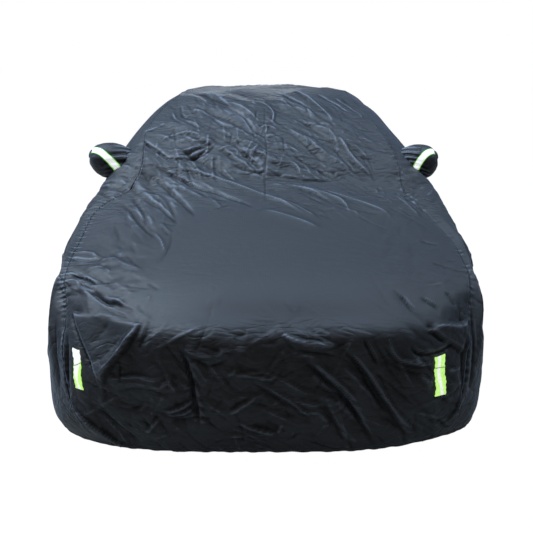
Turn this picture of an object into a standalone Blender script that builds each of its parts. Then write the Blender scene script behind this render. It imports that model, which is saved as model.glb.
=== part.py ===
"""Fitted car cover, draped over a mid-size car that isn't modelled.

Metres, +Z up, the front of the cover faces -Y. Sizes below are measured from the ground and from
the foremost point of the cover. They are moved to the origin, which is on the underside of the
cloth at the middle of the roof. Left is -X and right is +X, as seen when facing the front.
"""
import math

import bmesh
import bpy
import numpy as np
from mathutils.bvhtree import BVHTree
from mathutils import Vector

# driving sizes
SHEET = 0.002            # thickness of the cloth
SEAM_GAP = 0.0003        # between two pieces that are sewn together
HALF_WIDTH = 0.945       # widest outline, at bumper height
LENGTH = 4.62
FRONT_BOW = 0.05         # how far the front face curves back before its corners
FRONT_CORNER = (0.35, 0.38)
REAR_CORNER = (0.36, 0.34)
ORIGIN = (0.0, 2.45, 1.436)
CENTRE_COLUMNS = 30
ARC_POINTS = 24          # points that draw the round corners and the straights of a plan outline
SIDE_POINTS = 80
CORE_LENGTH = (1.0, 3.62)      # the middle line inside the cover, which all its cloth faces away from
CORE_HEIGHT = (0.5, 0.6)
FACE_POINTS = 6
CURVE_POINTS = 8         # points between two given ones when a column is drawn as a curve
FOLD_FADE = 0.25         # share of a fold's length over which its ends run out
FOLD_ENDS = 0.15         # share of its height that is left at the ends
INSET_RUN = 0.6          # length over which the front inset runs out
SEAM_BLEND = 0.35        # length over which a level is drawn to its seam
EDGE_SHARE = 0.22        # where a side panel turns down from the top seam, and how round that is
EDGE_ROUND = 0.065
RIM_ORDER = (0.0, 1.0, 0.31)   # direction in which the edges of all sheets are split alike
CORNER_COLUMNS = 9       # columns of a side panel that fan out round the front corner
TAIL_COLUMNS = 5         # and round the rear corner
RELAX_COLUMNS = (6, 4)   # columns evened out at the front and at the rear, how often and how much
RELAX_STEPS = 5
RELAX_RATES = (0.60, -0.56)

# Stations of the centre panel, front hem to rear hem:
# name, rows from the last station, crown, middle (y, z), left seam (x, y, z), right seam (x, y, z)
STATIONS = (
    ("front_hem",    0, 3.6, (0.100, 0.165), (-0.600, 0.130, 0.168), (0.640, 0.135, 0.196)),
    ("front_low",    2, 3.8, (0.025, 0.240), (-0.700, 0.105, 0.262), (0.725, 0.115, 0.290)),
    ("bumper",       3, 3.8, (0.000, 0.400), (-0.775, 0.150, 0.410), (0.775, 0.150, 0.420)),
    ("grille",       3, 3.6, (0.015, 0.590), (-0.805, 0.225, 0.560), (0.800, 0.225, 0.560)),
    ("bonnet_lip",   2, 3.2, (0.060, 0.700), (-0.825, 0.345, 0.670), (0.828, 0.345, 0.662)),
    ("bonnet_edge",  2, 2.8, (0.130, 0.758), (-0.860, 0.455, 0.752), (0.864, 0.450, 0.747)),
    ("bonnet_front", 3, 2.4, (0.270, 0.806), (-0.868, 0.520, 0.782), (0.874, 0.520, 0.775)),
    ("bonnet_mid",   6, 2.4, (0.640, 0.893), (-0.880, 0.800, 0.832), (0.872, 0.780, 0.835)),
    ("bonnet_rear",  6, 2.4, (1.020, 0.972), (-0.860, 1.090, 0.920), (0.790, 1.040, 0.925)),
    ("cowl",         4, 2.2, (1.270, 1.030), (-0.715, 1.260, 1.000), (0.725, 1.230, 0.985)),
    ("screen_low",   4, 2.2, (1.420, 1.125), (-0.680, 1.400, 1.100), (0.725, 1.380, 1.080)),
    ("screen_mid",   4, 2.2, (1.680, 1.265), (-0.700, 1.640, 1.235), (0.680, 1.620, 1.215)),
    ("header",       5, 3.0, (2.000, 1.385), (-0.628, 2.000, 1.358), (0.590, 2.000, 1.350)),
    ("roof_front",   3, 3.2, (2.250, 1.428), (-0.590, 2.260, 1.400), (0.540, 2.260, 1.398)),
    ("roof_mid",     2, 3.0, (2.700, 1.440), (-0.585, 2.700, 1.400), (0.570, 2.700, 1.398)),
    ("roof_rear",    3, 2.8, (3.200, 1.385), (-0.590, 3.180, 1.345), (0.590, 3.180, 1.345)),
    ("rear_screen",  2, 2.4, (3.600, 1.215), (-0.650, 3.560, 1.180), (0.650, 3.560, 1.180)),
    ("boot_front",   2, 2.2, (3.850, 1.100), (-0.740, 3.800, 1.060), (0.740, 3.800, 1.060)),
    ("boot_rear",    3, 2.4, (4.320, 1.045), (-0.800, 4.150, 1.005), (0.800, 4.150, 1.005)),
    ("boot_edge",    2, 2.6, (4.440, 0.990), (-0.790, 4.260, 0.955), (0.790, 4.260, 0.955)),
    ("tail_high",    2, 2.8, (4.510, 0.880), (-0.765, 4.350, 0.850), (0.765, 4.350, 0.850)),
    ("tail_mid",     2, 3.0, (4.570, 0.660), (-0.720, 4.440, 0.640), (0.720, 4.440, 0.640)),
    ("rear_bumper",  3, 3.0, (4.620, 0.450), (-0.680, 4.510, 0.450), (0.680, 4.510, 0.450)),
    ("rear_low",     3, 3.0, (4.590, 0.260), (-0.640, 4.510, 0.270), (0.640, 4.510, 0.270)),
    ("rear_hem",     2, 3.0, (4.500, 0.170), (-0.600, 4.450, 0.175), (0.600, 4.450, 0.175)),
)

# Levels of the side panels below the top seam: name, inset from the widest outline at the front
# and further back, then the height at each of LEVEL_PLACES, from the front corner to the rear one
LEVELS = (
    ("shoulder", 0.040, 0.012, 0.735, 0.835, 0.965, 1.010, 0.950),
    ("waist",    0.040, 0.000, 0.625, 0.670, 0.720, 0.740, 0.720),
    ("bumper",   0.020, 0.004, 0.430, 0.440, 0.450, 0.450, 0.440),
    ("low",      0.016, 0.016, 0.250, 0.262, 0.265, 0.265, 0.270),
    ("hem",      0.016, 0.062, 0.156, 0.162, 0.165, 0.167, 0.172),
)
LEVEL_PLACES = (0.40, 0.75, 1.55, 3.10, 4.30)

# Main folds seen from above: name, height (a trough is below zero), half width, (x, y) along it
FOLDS_ABOVE = (
    ("left_pull_1",   -0.014, 0.034, ((-0.68, 1.39), (-0.44, 1.28), (-0.13, 1.04), (-0.04, 0.93))),
    ("left_pull_2",    0.009, 0.036, ((-0.58, 1.41), (-0.36, 1.34), (-0.14, 1.21), (0.25, 0.85))),
    ("left_pull_3",   -0.012, 0.030, ((-0.69, 1.31), (-0.57, 1.27), (-0.44, 1.07), (-0.33, 0.86))),
    ("left_pull_4",   -0.010, 0.030, ((-0.70, 1.25), (-0.62, 1.20), (-0.52, 1.03), (-0.41, 0.78))),
    ("left_pull_5",   -0.012, 0.032, ((-0.74, 1.12), (-0.64, 0.93), (-0.50, 0.68))),
    ("pillar_fold",   -0.020, 0.034, ((-0.72, 1.58), (-0.54, 1.44), (-0.44, 1.43), (-0.28, 1.53))),
    ("pillar_ridge",   0.012, 0.036, ((-0.66, 1.66), (-0.52, 1.56), (-0.38, 1.60))),
    ("screen_left_1", -0.011, 0.032, ((-0.36, 1.80), (-0.24, 1.67), (-0.14, 1.64))),
    ("screen_left_2", -0.013, 0.032, ((-0.30, 1.95), (-0.16, 1.80), (-0.04, 1.62), (0.08, 1.59))),
    ("screen_left_3", -0.014, 0.030, ((-0.20, 1.55), (-0.10, 1.43), (-0.02, 1.33))),
    ("screen_left_4", -0.009, 0.030, ((-0.34, 1.38), (-0.24, 1.34), (-0.17, 1.27))),
    ("cowl_fold",     -0.014, 0.034, ((-0.14, 1.31), (0.18, 1.27), (0.48, 1.33))),
    ("header_ridge",   0.012, 0.034, ((0.07, 2.34), (0.21, 2.07), (0.35, 1.84), (0.40, 1.66))),
    ("screen_right_1", -0.010, 0.032, ((0.16, 1.75), (0.30, 1.66), (0.46, 1.55))),
    ("screen_right_2", 0.011, 0.034, ((0.40, 1.60), (0.47, 1.45), (0.60, 1.30))),
    ("screen_right_3", -0.010, 0.032, ((0.12, 1.46), (0.24, 1.38), (0.40, 1.29))),
    ("hood_pull_1",    0.007, 0.034, ((-0.06, 0.96), (0.11, 0.85), (0.27, 0.74))),
    ("hood_pull_2",    0.008, 0.034, ((-0.03, 1.24), (0.18, 1.18), (0.37, 1.05), (0.44, 0.88))),
    ("hood_pull_3",    0.007, 0.034, ((0.28, 1.17), (0.42, 1.07), (0.66, 0.92))),
    ("wing_fold_1",   -0.008, 0.026, ((-0.88, 0.64), (-0.80, 0.60), (-0.70, 0.58))),
    ("wing_fold_2",   -0.015, 0.030, ((-0.85, 0.53), (-0.74, 0.43), (-0.60, 0.36))),
    ("wing_fold_3",   -0.013, 0.028, ((-0.73, 0.38), (-0.64, 0.28), (-0.50, 0.18))),
    ("corner_fold",   -0.008, 0.026, ((0.50, 0.32), (0.57, 0.21), (0.62, 0.15))),
    ("roof_fold_1",   -0.009, 0.045, ((-0.50, 2.55), (-0.10, 2.95), (0.25, 3.20))),
    ("roof_fold_2",    0.008, 0.045, ((0.48, 2.50), (0.10, 2.85), (-0.30, 3.25))),
    ("glass_fold",    -0.012, 0.045, ((-0.55, 3.45), (-0.10, 3.75), (0.45, 3.80))),
    ("boot_fold",      0.008, 0.045, ((0.60, 3.90), (0.20, 4.10), (-0.35, 4.30))),
)
# The same seen from the front, with (x, z)
FOLDS_FRONT = (
    ("flap_ridge",     0.018, 0.032, ((-0.48, 0.73), (-0.57, 0.61), (-0.66, 0.48))),
    ("flap_trough",   -0.014, 0.032, ((-0.55, 0.71), (-0.62, 0.62), (-0.68, 0.53))),
    ("wing_trough",   -0.010, 0.032, ((-0.60, 0.72), (-0.71, 0.58))),
    ("left_drop",     -0.016, 0.032, ((-0.33, 0.70), (-0.28, 0.54), (-0.26, 0.32))),
    ("lip_ridge_1",    0.012, 0.032, ((-0.31, 0.67), (-0.20, 0.64), (-0.06, 0.66))),
    ("lip_ridge_2",    0.011, 0.032, ((0.05, 0.71), (0.13, 0.68), (0.27, 0.67))),
    ("left_shelf",     0.010, 0.032, ((-0.63, 0.49), (-0.48, 0.52), (-0.33, 0.50))),
    ("low_ridge_1",    0.012, 0.032, ((-0.40, 0.39), (-0.26, 0.46))),
    ("corner_ridge",   0.015, 0.032, ((-0.76, 0.38), (-0.61, 0.26), (-0.50, 0.20))),
    ("corner_trough", -0.012, 0.032, ((-0.69, 0.42), (-0.56, 0.29), (-0.47, 0.20))),
    ("low_ridge_2",    0.010, 0.032, ((-0.15, 0.40), (-0.03, 0.48))),
    ("low_ridge_3",    0.010, 0.032, ((-0.12, 0.38), (0.05, 0.31))),
    ("middle_fold",   -0.010, 0.032, ((-0.04, 0.55), (0.12, 0.42), (0.22, 0.37))),
    ("right_fall_1",  -0.018, 0.038, ((0.10, 0.66), (0.29, 0.46), (0.41, 0.24))),
    ("right_fall_2",  -0.016, 0.036, ((0.26, 0.68), (0.35, 0.57), (0.47, 0.36), (0.56, 0.24))),
    ("right_fall_3",  -0.012, 0.034, ((0.17, 0.50), (0.30, 0.27))),
    ("right_fall_4",  -0.012, 0.034, ((0.38, 0.70), (0.48, 0.58), (0.64, 0.52))),
    ("right_ridge",    0.013, 0.032, ((0.60, 0.68), (0.79, 0.63), (0.80, 0.54))),
)
# and from the sides, with (y, z), for both side panels alike but for the share of depth on each
FOLDS_SIDE = (
    ("wheel_front",   -0.014, 0.060, ((1.52, 0.98), (1.10, 0.72), (0.72, 0.34))),
    ("mirror_fall",   -0.014, 0.060, ((1.66, 0.98), (1.72, 0.66), (1.64, 0.26))),
    ("mirror_back",   -0.012, 0.065, ((1.70, 1.02), (2.20, 0.76), (2.60, 0.36))),
    ("door_ridge",     0.012, 0.070, ((2.05, 1.22), (2.12, 0.80), (2.02, 0.30))),
    ("pillar_drop",   -0.014, 0.065, ((3.30, 1.22), (3.12, 0.78), (3.18, 0.30))),
    ("wheel_rear",     0.012, 0.065, ((3.66, 1.10), (3.80, 0.70), (3.70, 0.30))),
    ("corner_drop",   -0.012, 0.055, ((4.22, 0.90), (4.30, 0.60), (4.26, 0.28))),
)
SIDE_SHARE = {-1: 1.0, 1: 0.8}
# A fold shows where the cloth faces its view: the parts of the normal where it sets in and is full
FACING_ABOVE = (0.20, 0.70)
FACING_FRONT = (0.15, 0.65)
FACING_SIDE = (0.30, 0.80)
# The bonnet, where the cloth is drawn tight: where that sets in and runs out, and the slack left
TIGHT_START = (0.25, 0.45)
TIGHT_END = (0.85, 1.15)
TIGHT_SLACK = 0.2
# Slow unevenness of slack cloth: height, wave length, direction, phase
WAVES = (
    (0.0030, 0.52, (0.80, 0.60, 0.30), 0.4),
    (0.0026, 0.37, (-0.65, 0.55, 0.75), 1.9),
    (0.0020, 0.29, (0.35, -0.80, 0.60), 3.1),
    (0.0016, 0.23, (0.90, 0.20, -0.70), 4.6),
)

# Mirror pockets: middle of the base, outward axis of the base, middle of the tip
POCKETS = {
    -1: ((-0.856, 1.550, 1.078), (-0.78, -0.12, 0.61), (-0.996, 1.528, 1.128)),
    1: ((0.846, 1.550, 1.070), (0.76, -0.12, 0.64), (0.962, 1.528, 1.122)),
}
POCKET_SIDES = 24
POCKET_COLLAR = 0.009    # seam allowance inside the side panel
POCKET_REACH = 0.5       # from where the panel under the base is looked for
POCKET_SETTLE = 0.45     # share of the pocket over which the form of the panel runs out
POCKET_END = 0.010       # the rounded tip beyond the last ring
# Rings of a pocket: share of the way to the tip, half height, half width
POCKET_RINGS = (
    (0.00, 0.106, 0.098),
    (0.07, 0.107, 0.100),
    (0.20, 0.106, 0.103),
    (0.42, 0.099, 0.103),
    (0.64, 0.086, 0.098),
    (0.82, 0.068, 0.086),
    (0.94, 0.048, 0.066),
    (1.00, 0.024, 0.036),
)
STRIPE_TURN = (108.0, 56.0)   # the stripe's place round the pocket at base and tip, degrees from the top
STRIPE_WIDTH = 0.045
STRIPE_RINGS = (1, 6)    # first and last ring that the stripe covers
TAPE = 0.0008            # thickness of the reflective tape
TAPE_GAP = 0.0003

# Front strips: middle of the upper edge and of the lower edge (x, z), width
FRONT_STRIPS = {
    -1: ((-0.742, 0.592), (-0.722, 0.440), 0.036),
    1: ((0.664, 0.590), (0.672, 0.425), 0.045),
}
STRIP_ROWS = 21
STRIP_COLUMNS = 6
STRIP_LIFT = 0.0008      # from the cloth to the tape, which spans its small hollows

CLOTH_COLOUR = (0.045, 0.058, 0.082)
CLOTH_ROUGHNESS = 0.42
STRIPE_COLOUR = (0.82, 0.88, 0.86)
STRIP_COLOUR = (0.52, 0.78, 0.36)
TAPE_ROUGHNESS = 0.30


def spline_point(points, k, t):
    """Point at t between points[k] and points[k + 1] on a centripetal Catmull-Rom curve."""
    p1, p2 = points[k], points[k + 1]
    p0 = points[k - 1] if k > 0 else 2 * p1 - p2
    p3 = points[k + 2] if k + 2 < len(points) else 2 * p2 - p1
    knots = [0.0]
    for a, b in ((p0, p1), (p1, p2), (p2, p3)):
        knots.append(knots[-1] + max(float(np.linalg.norm(b - a)), 1e-6) ** 0.5)
    t0, t1, t2, t3 = knots
    u = t1 + (t2 - t1) * t
    a1 = (t1 - u) / (t1 - t0) * p0 + (u - t0) / (t1 - t0) * p1
    a2 = (t2 - u) / (t2 - t1) * p1 + (u - t1) / (t2 - t1) * p2
    a3 = (t3 - u) / (t3 - t2) * p2 + (u - t2) / (t3 - t2) * p3
    b1 = (t2 - u) / (t2 - t0) * a1 + (u - t0) / (t2 - t0) * a2
    b2 = (t3 - u) / (t3 - t1) * a2 + (u - t1) / (t3 - t1) * a3
    return (t2 - u) / (t2 - t1) * b1 + (u - t1) / (t2 - t1) * b2


def smooth_step(t):
    t = np.clip(t, 0.0, 1.0)
    return t * t * (3.0 - 2.0 * t)


def unit(vectors):
    return vectors / np.maximum(np.linalg.norm(vectors, axis=-1, keepdims=True), 1e-9)


def between(value, span):
    """0 below the span, 1 above it, and smooth inside."""
    return smooth_step((value - span[0]) / (span[1] - span[0]))


def table_curve(places, values, x):
    """Smooth curve through a short table, level beyond its ends."""
    x = float(np.clip(x, places[0], places[-1]))
    k = max(0, min(len(places) - 2, int(np.searchsorted(places, x)) - 1))
    points = [np.array((p, v)) for p, v in zip(places, values)]
    span = places[k + 1] - places[k]
    slopes = []
    for i in (k, k + 1):
        a = points[max(i - 1, 0)]
        b = points[min(i + 1, len(points) - 1)]
        slopes.append((b[1] - a[1]) / (b[0] - a[0]))
    t = (x - places[k]) / span
    h1 = 2 * t ** 3 - 3 * t ** 2 + 1
    h2 = t ** 3 - 2 * t ** 2 + t
    h3 = 3 * t ** 2 - 2 * t ** 3
    h4 = t ** 3 - t ** 2
    return h1 * values[k] + h2 * span * slopes[0] + h3 * values[k + 1] + h4 * span * slopes[1]


def station_row(name):
    """Row of the centre panel's grid at a station."""
    row = 0
    for station in STATIONS:
        row += station[1]
        if station[0] == name:
            return row
    raise KeyError(name)


def station_lines():
    """Middle, left seam and right seam points for every row, and the crown of each row."""
    middle = [np.array((0.0, s[3][0], s[3][1])) for s in STATIONS]
    left = [np.array(s[4]) for s in STATIONS]
    right = [np.array(s[5]) for s in STATIONS]
    rows = []
    crowns = []
    for k in range(len(STATIONS) - 1):
        count = STATIONS[k + 1][1]
        for q in range(count):
            t = q / count
            rows.append([spline_point(line, k, t) for line in (middle, left, right)])
            crowns.append(STATIONS[k][2] * (1 - t) + STATIONS[k + 1][2] * t)
    rows.append([middle[-1], left[-1], right[-1]])
    crowns.append(STATIONS[-1][2])
    return np.array(rows), np.array(crowns)


def centre_grid():
    """Points of the centre panel, rows along the car by columns across it."""
    rows, crowns = station_lines()
    across = np.linspace(-1.0, 1.0, CENTRE_COLUMNS + 1)
    share = np.abs(across)[None, :] ** crowns[:, None]
    middle = rows[:, 0][:, None, :]
    edge = np.where((across < 0)[None, :, None], rows[:, 1][:, None, :], rows[:, 2][:, None, :])
    grid = middle + (edge - middle) * share[:, :, None]
    grid[:, :, 0] = edge[:, :, 0] * np.abs(across)[None, :]
    return grid


def side_outline(inset, x_front, x_rear):
    """Plan outline of one level from x_front on the front face, round one side, to x_rear."""
    half = HALF_WIDTH - inset
    front, rear = inset, LENGTH - inset
    flat_front = half - FRONT_CORNER[0]
    flat_rear = half - REAR_CORNER[0]
    points = []
    if x_front < flat_front:
        for x in np.linspace(x_front, flat_front, FACE_POINTS)[:-1]:
            points.append((x, front + FRONT_BOW * (x / flat_front) ** 2))
    first_angle = math.asin(max(0.0, x_front - flat_front) / FRONT_CORNER[0])
    for angle in np.linspace(first_angle, math.pi / 2, ARC_POINTS):
        x = flat_front + FRONT_CORNER[0] * math.sin(angle)
        points.append((x, front + FRONT_BOW + FRONT_CORNER[1] * (1 - math.cos(angle))))
    rear_y = rear - FRONT_BOW
    for y in np.linspace(points[-1][1], rear_y - REAR_CORNER[1], SIDE_POINTS)[1:]:
        points.append((half, y))
    last_angle = math.asin(max(0.0, x_rear - flat_rear) / REAR_CORNER[0])
    for angle in np.linspace(math.pi / 2, last_angle, ARC_POINTS)[1:]:
        x = flat_rear + REAR_CORNER[0] * math.sin(angle)
        points.append((x, rear_y - REAR_CORNER[1] * (1 - math.cos(angle))))
    if x_rear < flat_rear:
        for x in np.linspace(flat_rear, x_rear, FACE_POINTS)[1:]:
            points.append((x, rear - FRONT_BOW * (x / flat_rear) ** 2))
    return np.array(points)


def level_line(side, level, start, end, top_y):
    """One level of a side panel, with a point for every column, from seam to seam."""
    front_inset, inset, heights = level[1], level[2], level[3:]
    path = side_outline(inset, abs(start[0]), abs(end[0]))
    narrow = 1 - smooth_step((path[:, 1] - FRONT_CORNER[1]) / INSET_RUN)
    path[:, 0] -= (front_inset - inset) * narrow
    steps = np.concatenate(([0.0], np.cumsum(np.linalg.norm(np.diff(path, axis=0), axis=1))))
    last = len(top_y) - 1
    corner_end = np.interp(top_y[CORNER_COLUMNS], path[:, 1], steps)
    tail_start = np.interp(top_y[last - TAIL_COLUMNS], path[:, 1], steps)
    runs = np.interp(top_y, path[:, 1], steps)
    for i in range(CORNER_COLUMNS + 1):
        runs[i] = corner_end * i / CORNER_COLUMNS
    for i in range(TAIL_COLUMNS + 1):
        runs[last - i] = steps[-1] - (steps[-1] - tail_start) * i / TAIL_COLUMNS
    line = np.empty((last + 1, 3))
    line[:, 0] = side * np.interp(runs, steps, path[:, 0])
    line[:, 1] = np.interp(runs, steps, path[:, 1])
    for i in range(last + 1):
        line[i, 2] = table_curve(LEVEL_PLACES, heights, line[i, 1])
    # the ends are drawn to the seams, which don't lie on the plain outline
    from_start = smooth_step(runs / SEAM_BLEND)[:, None]
    from_end = smooth_step((steps[-1] - runs) / SEAM_BLEND)[:, None]
    pull_start = (start - line[0]) * (1 - from_start)
    pull_end = (end - line[-1]) * (1 - from_end)
    return line + pull_start + pull_end


def resample(points, shares):
    """Points at shares of the length of a smooth curve through the given points."""
    dense = []
    for k in range(len(points) - 1):
        for t in np.linspace(0.0, 1.0, CURVE_POINTS + 1)[:-1]:
            dense.append(spline_point(points, k, t))
    dense.append(points[-1])
    dense = np.array(dense)
    steps = np.concatenate(([0.0], np.cumsum(np.linalg.norm(np.diff(dense, axis=0), axis=1))))
    at = np.asarray(shares) * steps[-1]
    return np.stack([np.interp(at, steps, dense[:, axis]) for axis in range(3)], axis=1)


def length_shares(points):
    steps = np.concatenate(([0.0], np.cumsum(np.linalg.norm(np.diff(points, axis=0), axis=1))))
    return steps / steps[-1]


def side_grid(side, centre):
    """Points of a side panel, columns along the car by rows from the top seam to the hem."""
    edge = centre[:, 0] if side < 0 else centre[:, -1]
    front_row, rear_row = station_row("bonnet_edge"), station_row("boot_edge")
    top = edge[front_row:rear_row + 1]
    front = edge[front_row::-1]
    rear = edge[rear_row:]
    levels = []
    front_stations = ("bonnet_lip", "grille", "bumper", "front_low", "front_hem")
    rear_stations = ("tail_high", "tail_mid", "rear_bumper", "rear_low", "rear_hem")
    for level, front_name, rear_name in zip(LEVELS, front_stations, rear_stations):
        start, end = edge[station_row(front_name)], edge[station_row(rear_name)]
        levels.append(level_line(side, level, start, end, top[:, 1]))
    even = np.linspace(0.0, 1.0, len(front))
    front_shares, rear_shares = length_shares(front), length_shares(rear)
    last = len(top) - 1
    columns = [front]
    for i in range(1, last):
        drop = levels[0][i] - top[i]
        out = np.array((side * -drop[2], 0.0, abs(drop[0])))
        shoulder = top[i] + EDGE_SHARE * drop + EDGE_ROUND * out
        points = [top[i], shoulder] + [line[i] for line in levels]
        if i < CORNER_COLUMNS:
            mix = smooth_step(i / CORNER_COLUMNS)
            shares = front_shares * (1 - mix) + even * mix
        else:
            mix = smooth_step((last - i) / TAIL_COLUMNS)
            shares = rear_shares * (1 - mix) + even * mix
        columns.append(resample(points, shares))
    columns.append(rear)
    return relax(np.array(columns))


def relax(grid):
    """Evens out a side panel next to its front and rear seams, which stay where they are."""
    last = len(grid) - 1
    place = np.arange(1, last)
    share = np.maximum(1 - place / RELAX_COLUMNS[0], 1 - (last - place) / RELAX_COLUMNS[1])
    share = np.clip(share, 0.0, 1.0)[:, None, None]
    for step in range(RELAX_STEPS):
        # a step inwards and a slightly longer one outwards keep the size of the form
        for rate in RELAX_RATES:
            mean = (grid[:-2, 1:-1] + grid[2:, 1:-1] + grid[1:-1, :-2] + grid[1:-1, 2:]) / 4
            hem = (grid[:-2, -1] + grid[2:, -1]) / 2
            grid[1:-1, 1:-1] += rate * share * (mean - grid[1:-1, 1:-1])
            grid[1:-1, -1] += rate * share[:, 0] * (hem - grid[1:-1, -1])
    return grid


def grid_normals(grid):
    """Unit normals of a grid of points, turned away from the middle line of the cover."""
    along = np.gradient(grid, axis=0)
    across = np.gradient(grid, axis=1)
    normals = unit(np.cross(along, across))
    core = np.stack((0 * grid[..., 0], np.clip(grid[..., 1], *CORE_LENGTH),
                     np.clip(grid[..., 2], *CORE_HEIGHT)), axis=-1)
    if float((normals * (grid - core)).sum()) < 0:
        normals = -normals
    return normals


def fold_shape(flat, points, half_width):
    """Height share of one fold, from 0 to 1, for points projected on its plane."""
    line = np.array(points)
    lengths = np.linalg.norm(np.diff(line, axis=0), axis=1)
    total = lengths.sum()
    nearest = np.full(flat.shape[:-1], 1e9)
    along = np.zeros(flat.shape[:-1])
    done = 0.0
    for a, b, length in zip(line[:-1], line[1:], lengths):
        t = np.clip(((flat - a) @ (b - a)) / length ** 2, 0.0, 1.0)
        gap = np.linalg.norm(flat - (a + t[..., None] * (b - a)), axis=-1)
        closer = gap < nearest
        nearest = np.where(closer, gap, nearest)
        along = np.where(closer, (done + t * length) / total, along)
        done += length
    fade = smooth_step(along / FOLD_FADE) * smooth_step((1 - along) / FOLD_FADE)
    return np.exp(-(nearest / half_width) ** 2) * (FOLD_ENDS + (1 - FOLD_ENDS) * fade)


def cloth_height(points, normals):
    """How far the cloth stands off its plain form: the folds on the sides that face them, and waves."""
    height = np.zeros(points.shape[:-1])
    faces_up = between(normals[..., 2], FACING_ABOVE)
    faces_front = between(-normals[..., 1], FACING_FRONT)
    for name, depth, half_width, line in FOLDS_ABOVE:
        height += depth * faces_up * fold_shape(points[..., (0, 1)], line, half_width)
    for name, depth, half_width, line in FOLDS_FRONT:
        height += depth * faces_front * fold_shape(points[..., (0, 2)], line, half_width)
    for side, share in SIDE_SHARE.items():
        faces_side = between(side * normals[..., 0], FACING_SIDE)
        for name, depth, half_width, line in FOLDS_SIDE:
            height += share * depth * faces_side * fold_shape(points[..., (1, 2)], line, half_width)
    on_bonnet = between(points[..., 1], TIGHT_START) * (1 - between(points[..., 1], TIGHT_END))
    slack = 1.0 - (1.0 - TIGHT_SLACK) * on_bonnet * faces_up
    for size, length, direction, phase in WAVES:
        run = points @ np.array(direction) / np.linalg.norm(direction)
        height += slack * size * np.sin(2 * math.pi * run / length + phase)
    return height


def seam_places(side):
    """Index pairs of the seam that a side panel shares with the centre panel, front to rear."""
    column = 0 if side < 0 else CENTRE_COLUMNS
    first, last = station_row("bonnet_edge"), station_row("boot_edge")
    end = station_row("rear_hem")
    pairs = [((row, column), (0, first - row)) for row in range(first)]
    pairs += [((row, column), (row - first, 0)) for row in range(first, last + 1)]
    pairs += [((row, column), (last - first, row - last)) for row in range(last + 1, end + 1)]
    return pairs


def share_normals(centre_normals, side_normals, side):
    for centre_at, side_at in seam_places(side):
        both = unit(centre_normals[centre_at] + side_normals[side_at])
        centre_normals[centre_at] = both
        side_normals[side_at] = both


def cloth_grids():
    """Draped grids and their normals for the centre panel and the two side panels."""
    centre = centre_grid()
    grids = {0: centre, -1: side_grid(-1, centre), 1: side_grid(1, centre)}
    normals = {key: grid_normals(grid) for key, grid in grids.items()}
    for side in (-1, 1):
        share_normals(normals[0], normals[side], side)
    for key, grid in grids.items():
        height = cloth_height(grid, normals[key])
        grids[key] = grid + normals[key] * height[..., None]
    normals = {key: grid_normals(grid) for key, grid in grids.items()}
    for side in (-1, 1):
        share_normals(normals[0], normals[side], side)
    part_seams(grids, normals)
    return grids, normals


def part_seams(grids, normals):
    """Draws the two edges of each seam apart by the seam's gap."""
    for side in (-1, 1):
        pairs = seam_places(side)
        seam = np.array([grids[0][centre_at] for centre_at, side_at in pairs])
        runs = unit(np.gradient(seam, axis=0))
        neighbour = 1 if side < 0 else CENTRE_COLUMNS - 1
        for k, (centre_at, side_at) in enumerate(pairs):
            inward = np.cross(normals[0][centre_at], runs[k])
            inward = inward / np.linalg.norm(inward)
            if inward @ (grids[0][centre_at[0], neighbour] - seam[k]) < 0:
                inward = -inward
            grids[0][centre_at] = seam[k] + inward * SEAM_GAP / 2
            grids[side][side_at] = seam[k] - inward * SEAM_GAP / 2


def placed(points):
    return [tuple(p) for p in (np.asarray(points).reshape(-1, 3) - np.array(ORIGIN))]


def make_object(name, vertices, faces, colour, roughness):
    mesh = bpy.data.meshes.new(name)
    mesh.from_pydata(vertices, [], faces)
    work = bmesh.new()
    work.from_mesh(mesh)
    bmesh.ops.recalc_face_normals(work, faces=work.faces)
    work.to_mesh(mesh)
    work.free()
    mesh.shade_smooth()
    material = bpy.data.materials.new(name)
    material.use_nodes = True
    shader = material.node_tree.nodes["Principled BSDF"]
    shader.inputs["Base Color"].default_value = colour + (1.0,)
    shader.inputs["Roughness"].default_value = roughness
    shader.inputs["Metallic"].default_value = 0.0
    mesh.materials.append(material)
    made = bpy.data.objects.new(name, mesh)
    bpy.context.scene.collection.objects.link(made)
    return made


def sheet_solid(name, outer, inner, colour, roughness, closed=False):
    """A closed thin solid between two grids of points; closed joins the last column to the first."""
    rows, columns = outer.shape[:2]
    offset = rows * columns
    faces = []
    spans = columns if closed else columns - 1
    for r in range(rows - 1):
        for c in range(spans):
            d = (c + 1) % columns
            corners = [r * columns + c, r * columns + d, (r + 1) * columns + d, (r + 1) * columns + c]
            faces.append((corners[0], corners[1], corners[2]))
            faces.append((corners[0], corners[2], corners[3]))
            faces.append((corners[2] + offset, corners[1] + offset, corners[0] + offset))
            faces.append((corners[3] + offset, corners[2] + offset, corners[0] + offset))
    if closed:
        rims = [[c for c in range(columns)] + [0]]
        rims.append([(rows - 1) * columns + c for c in reversed(range(columns))])
        rims[1].append(rims[1][0])
    else:
        ring = [c for c in range(columns)]
        ring += [r * columns + columns - 1 for r in range(1, rows)]
        ring += [(rows - 1) * columns + c for c in reversed(range(columns - 1))]
        ring += [r * columns for r in reversed(range(rows - 1))]
        rims = [ring]
    lean = outer.reshape(-1, 3) @ np.array(RIM_ORDER)
    for rim in rims:
        for a, b in zip(rim[:-1], rim[1:]):
            # both edges of a seam are split along the same diagonals, so that they stay parallel
            if lean[a] < lean[b]:
                faces.append((b, a, a + offset))
                faces.append((b, a + offset, b + offset))
            else:
                faces.append((b, a, b + offset))
                faces.append((a, a + offset, b + offset))
    vertices = placed(outer) + placed(inner)
    return make_object(name, vertices, faces, colour, roughness)


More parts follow.
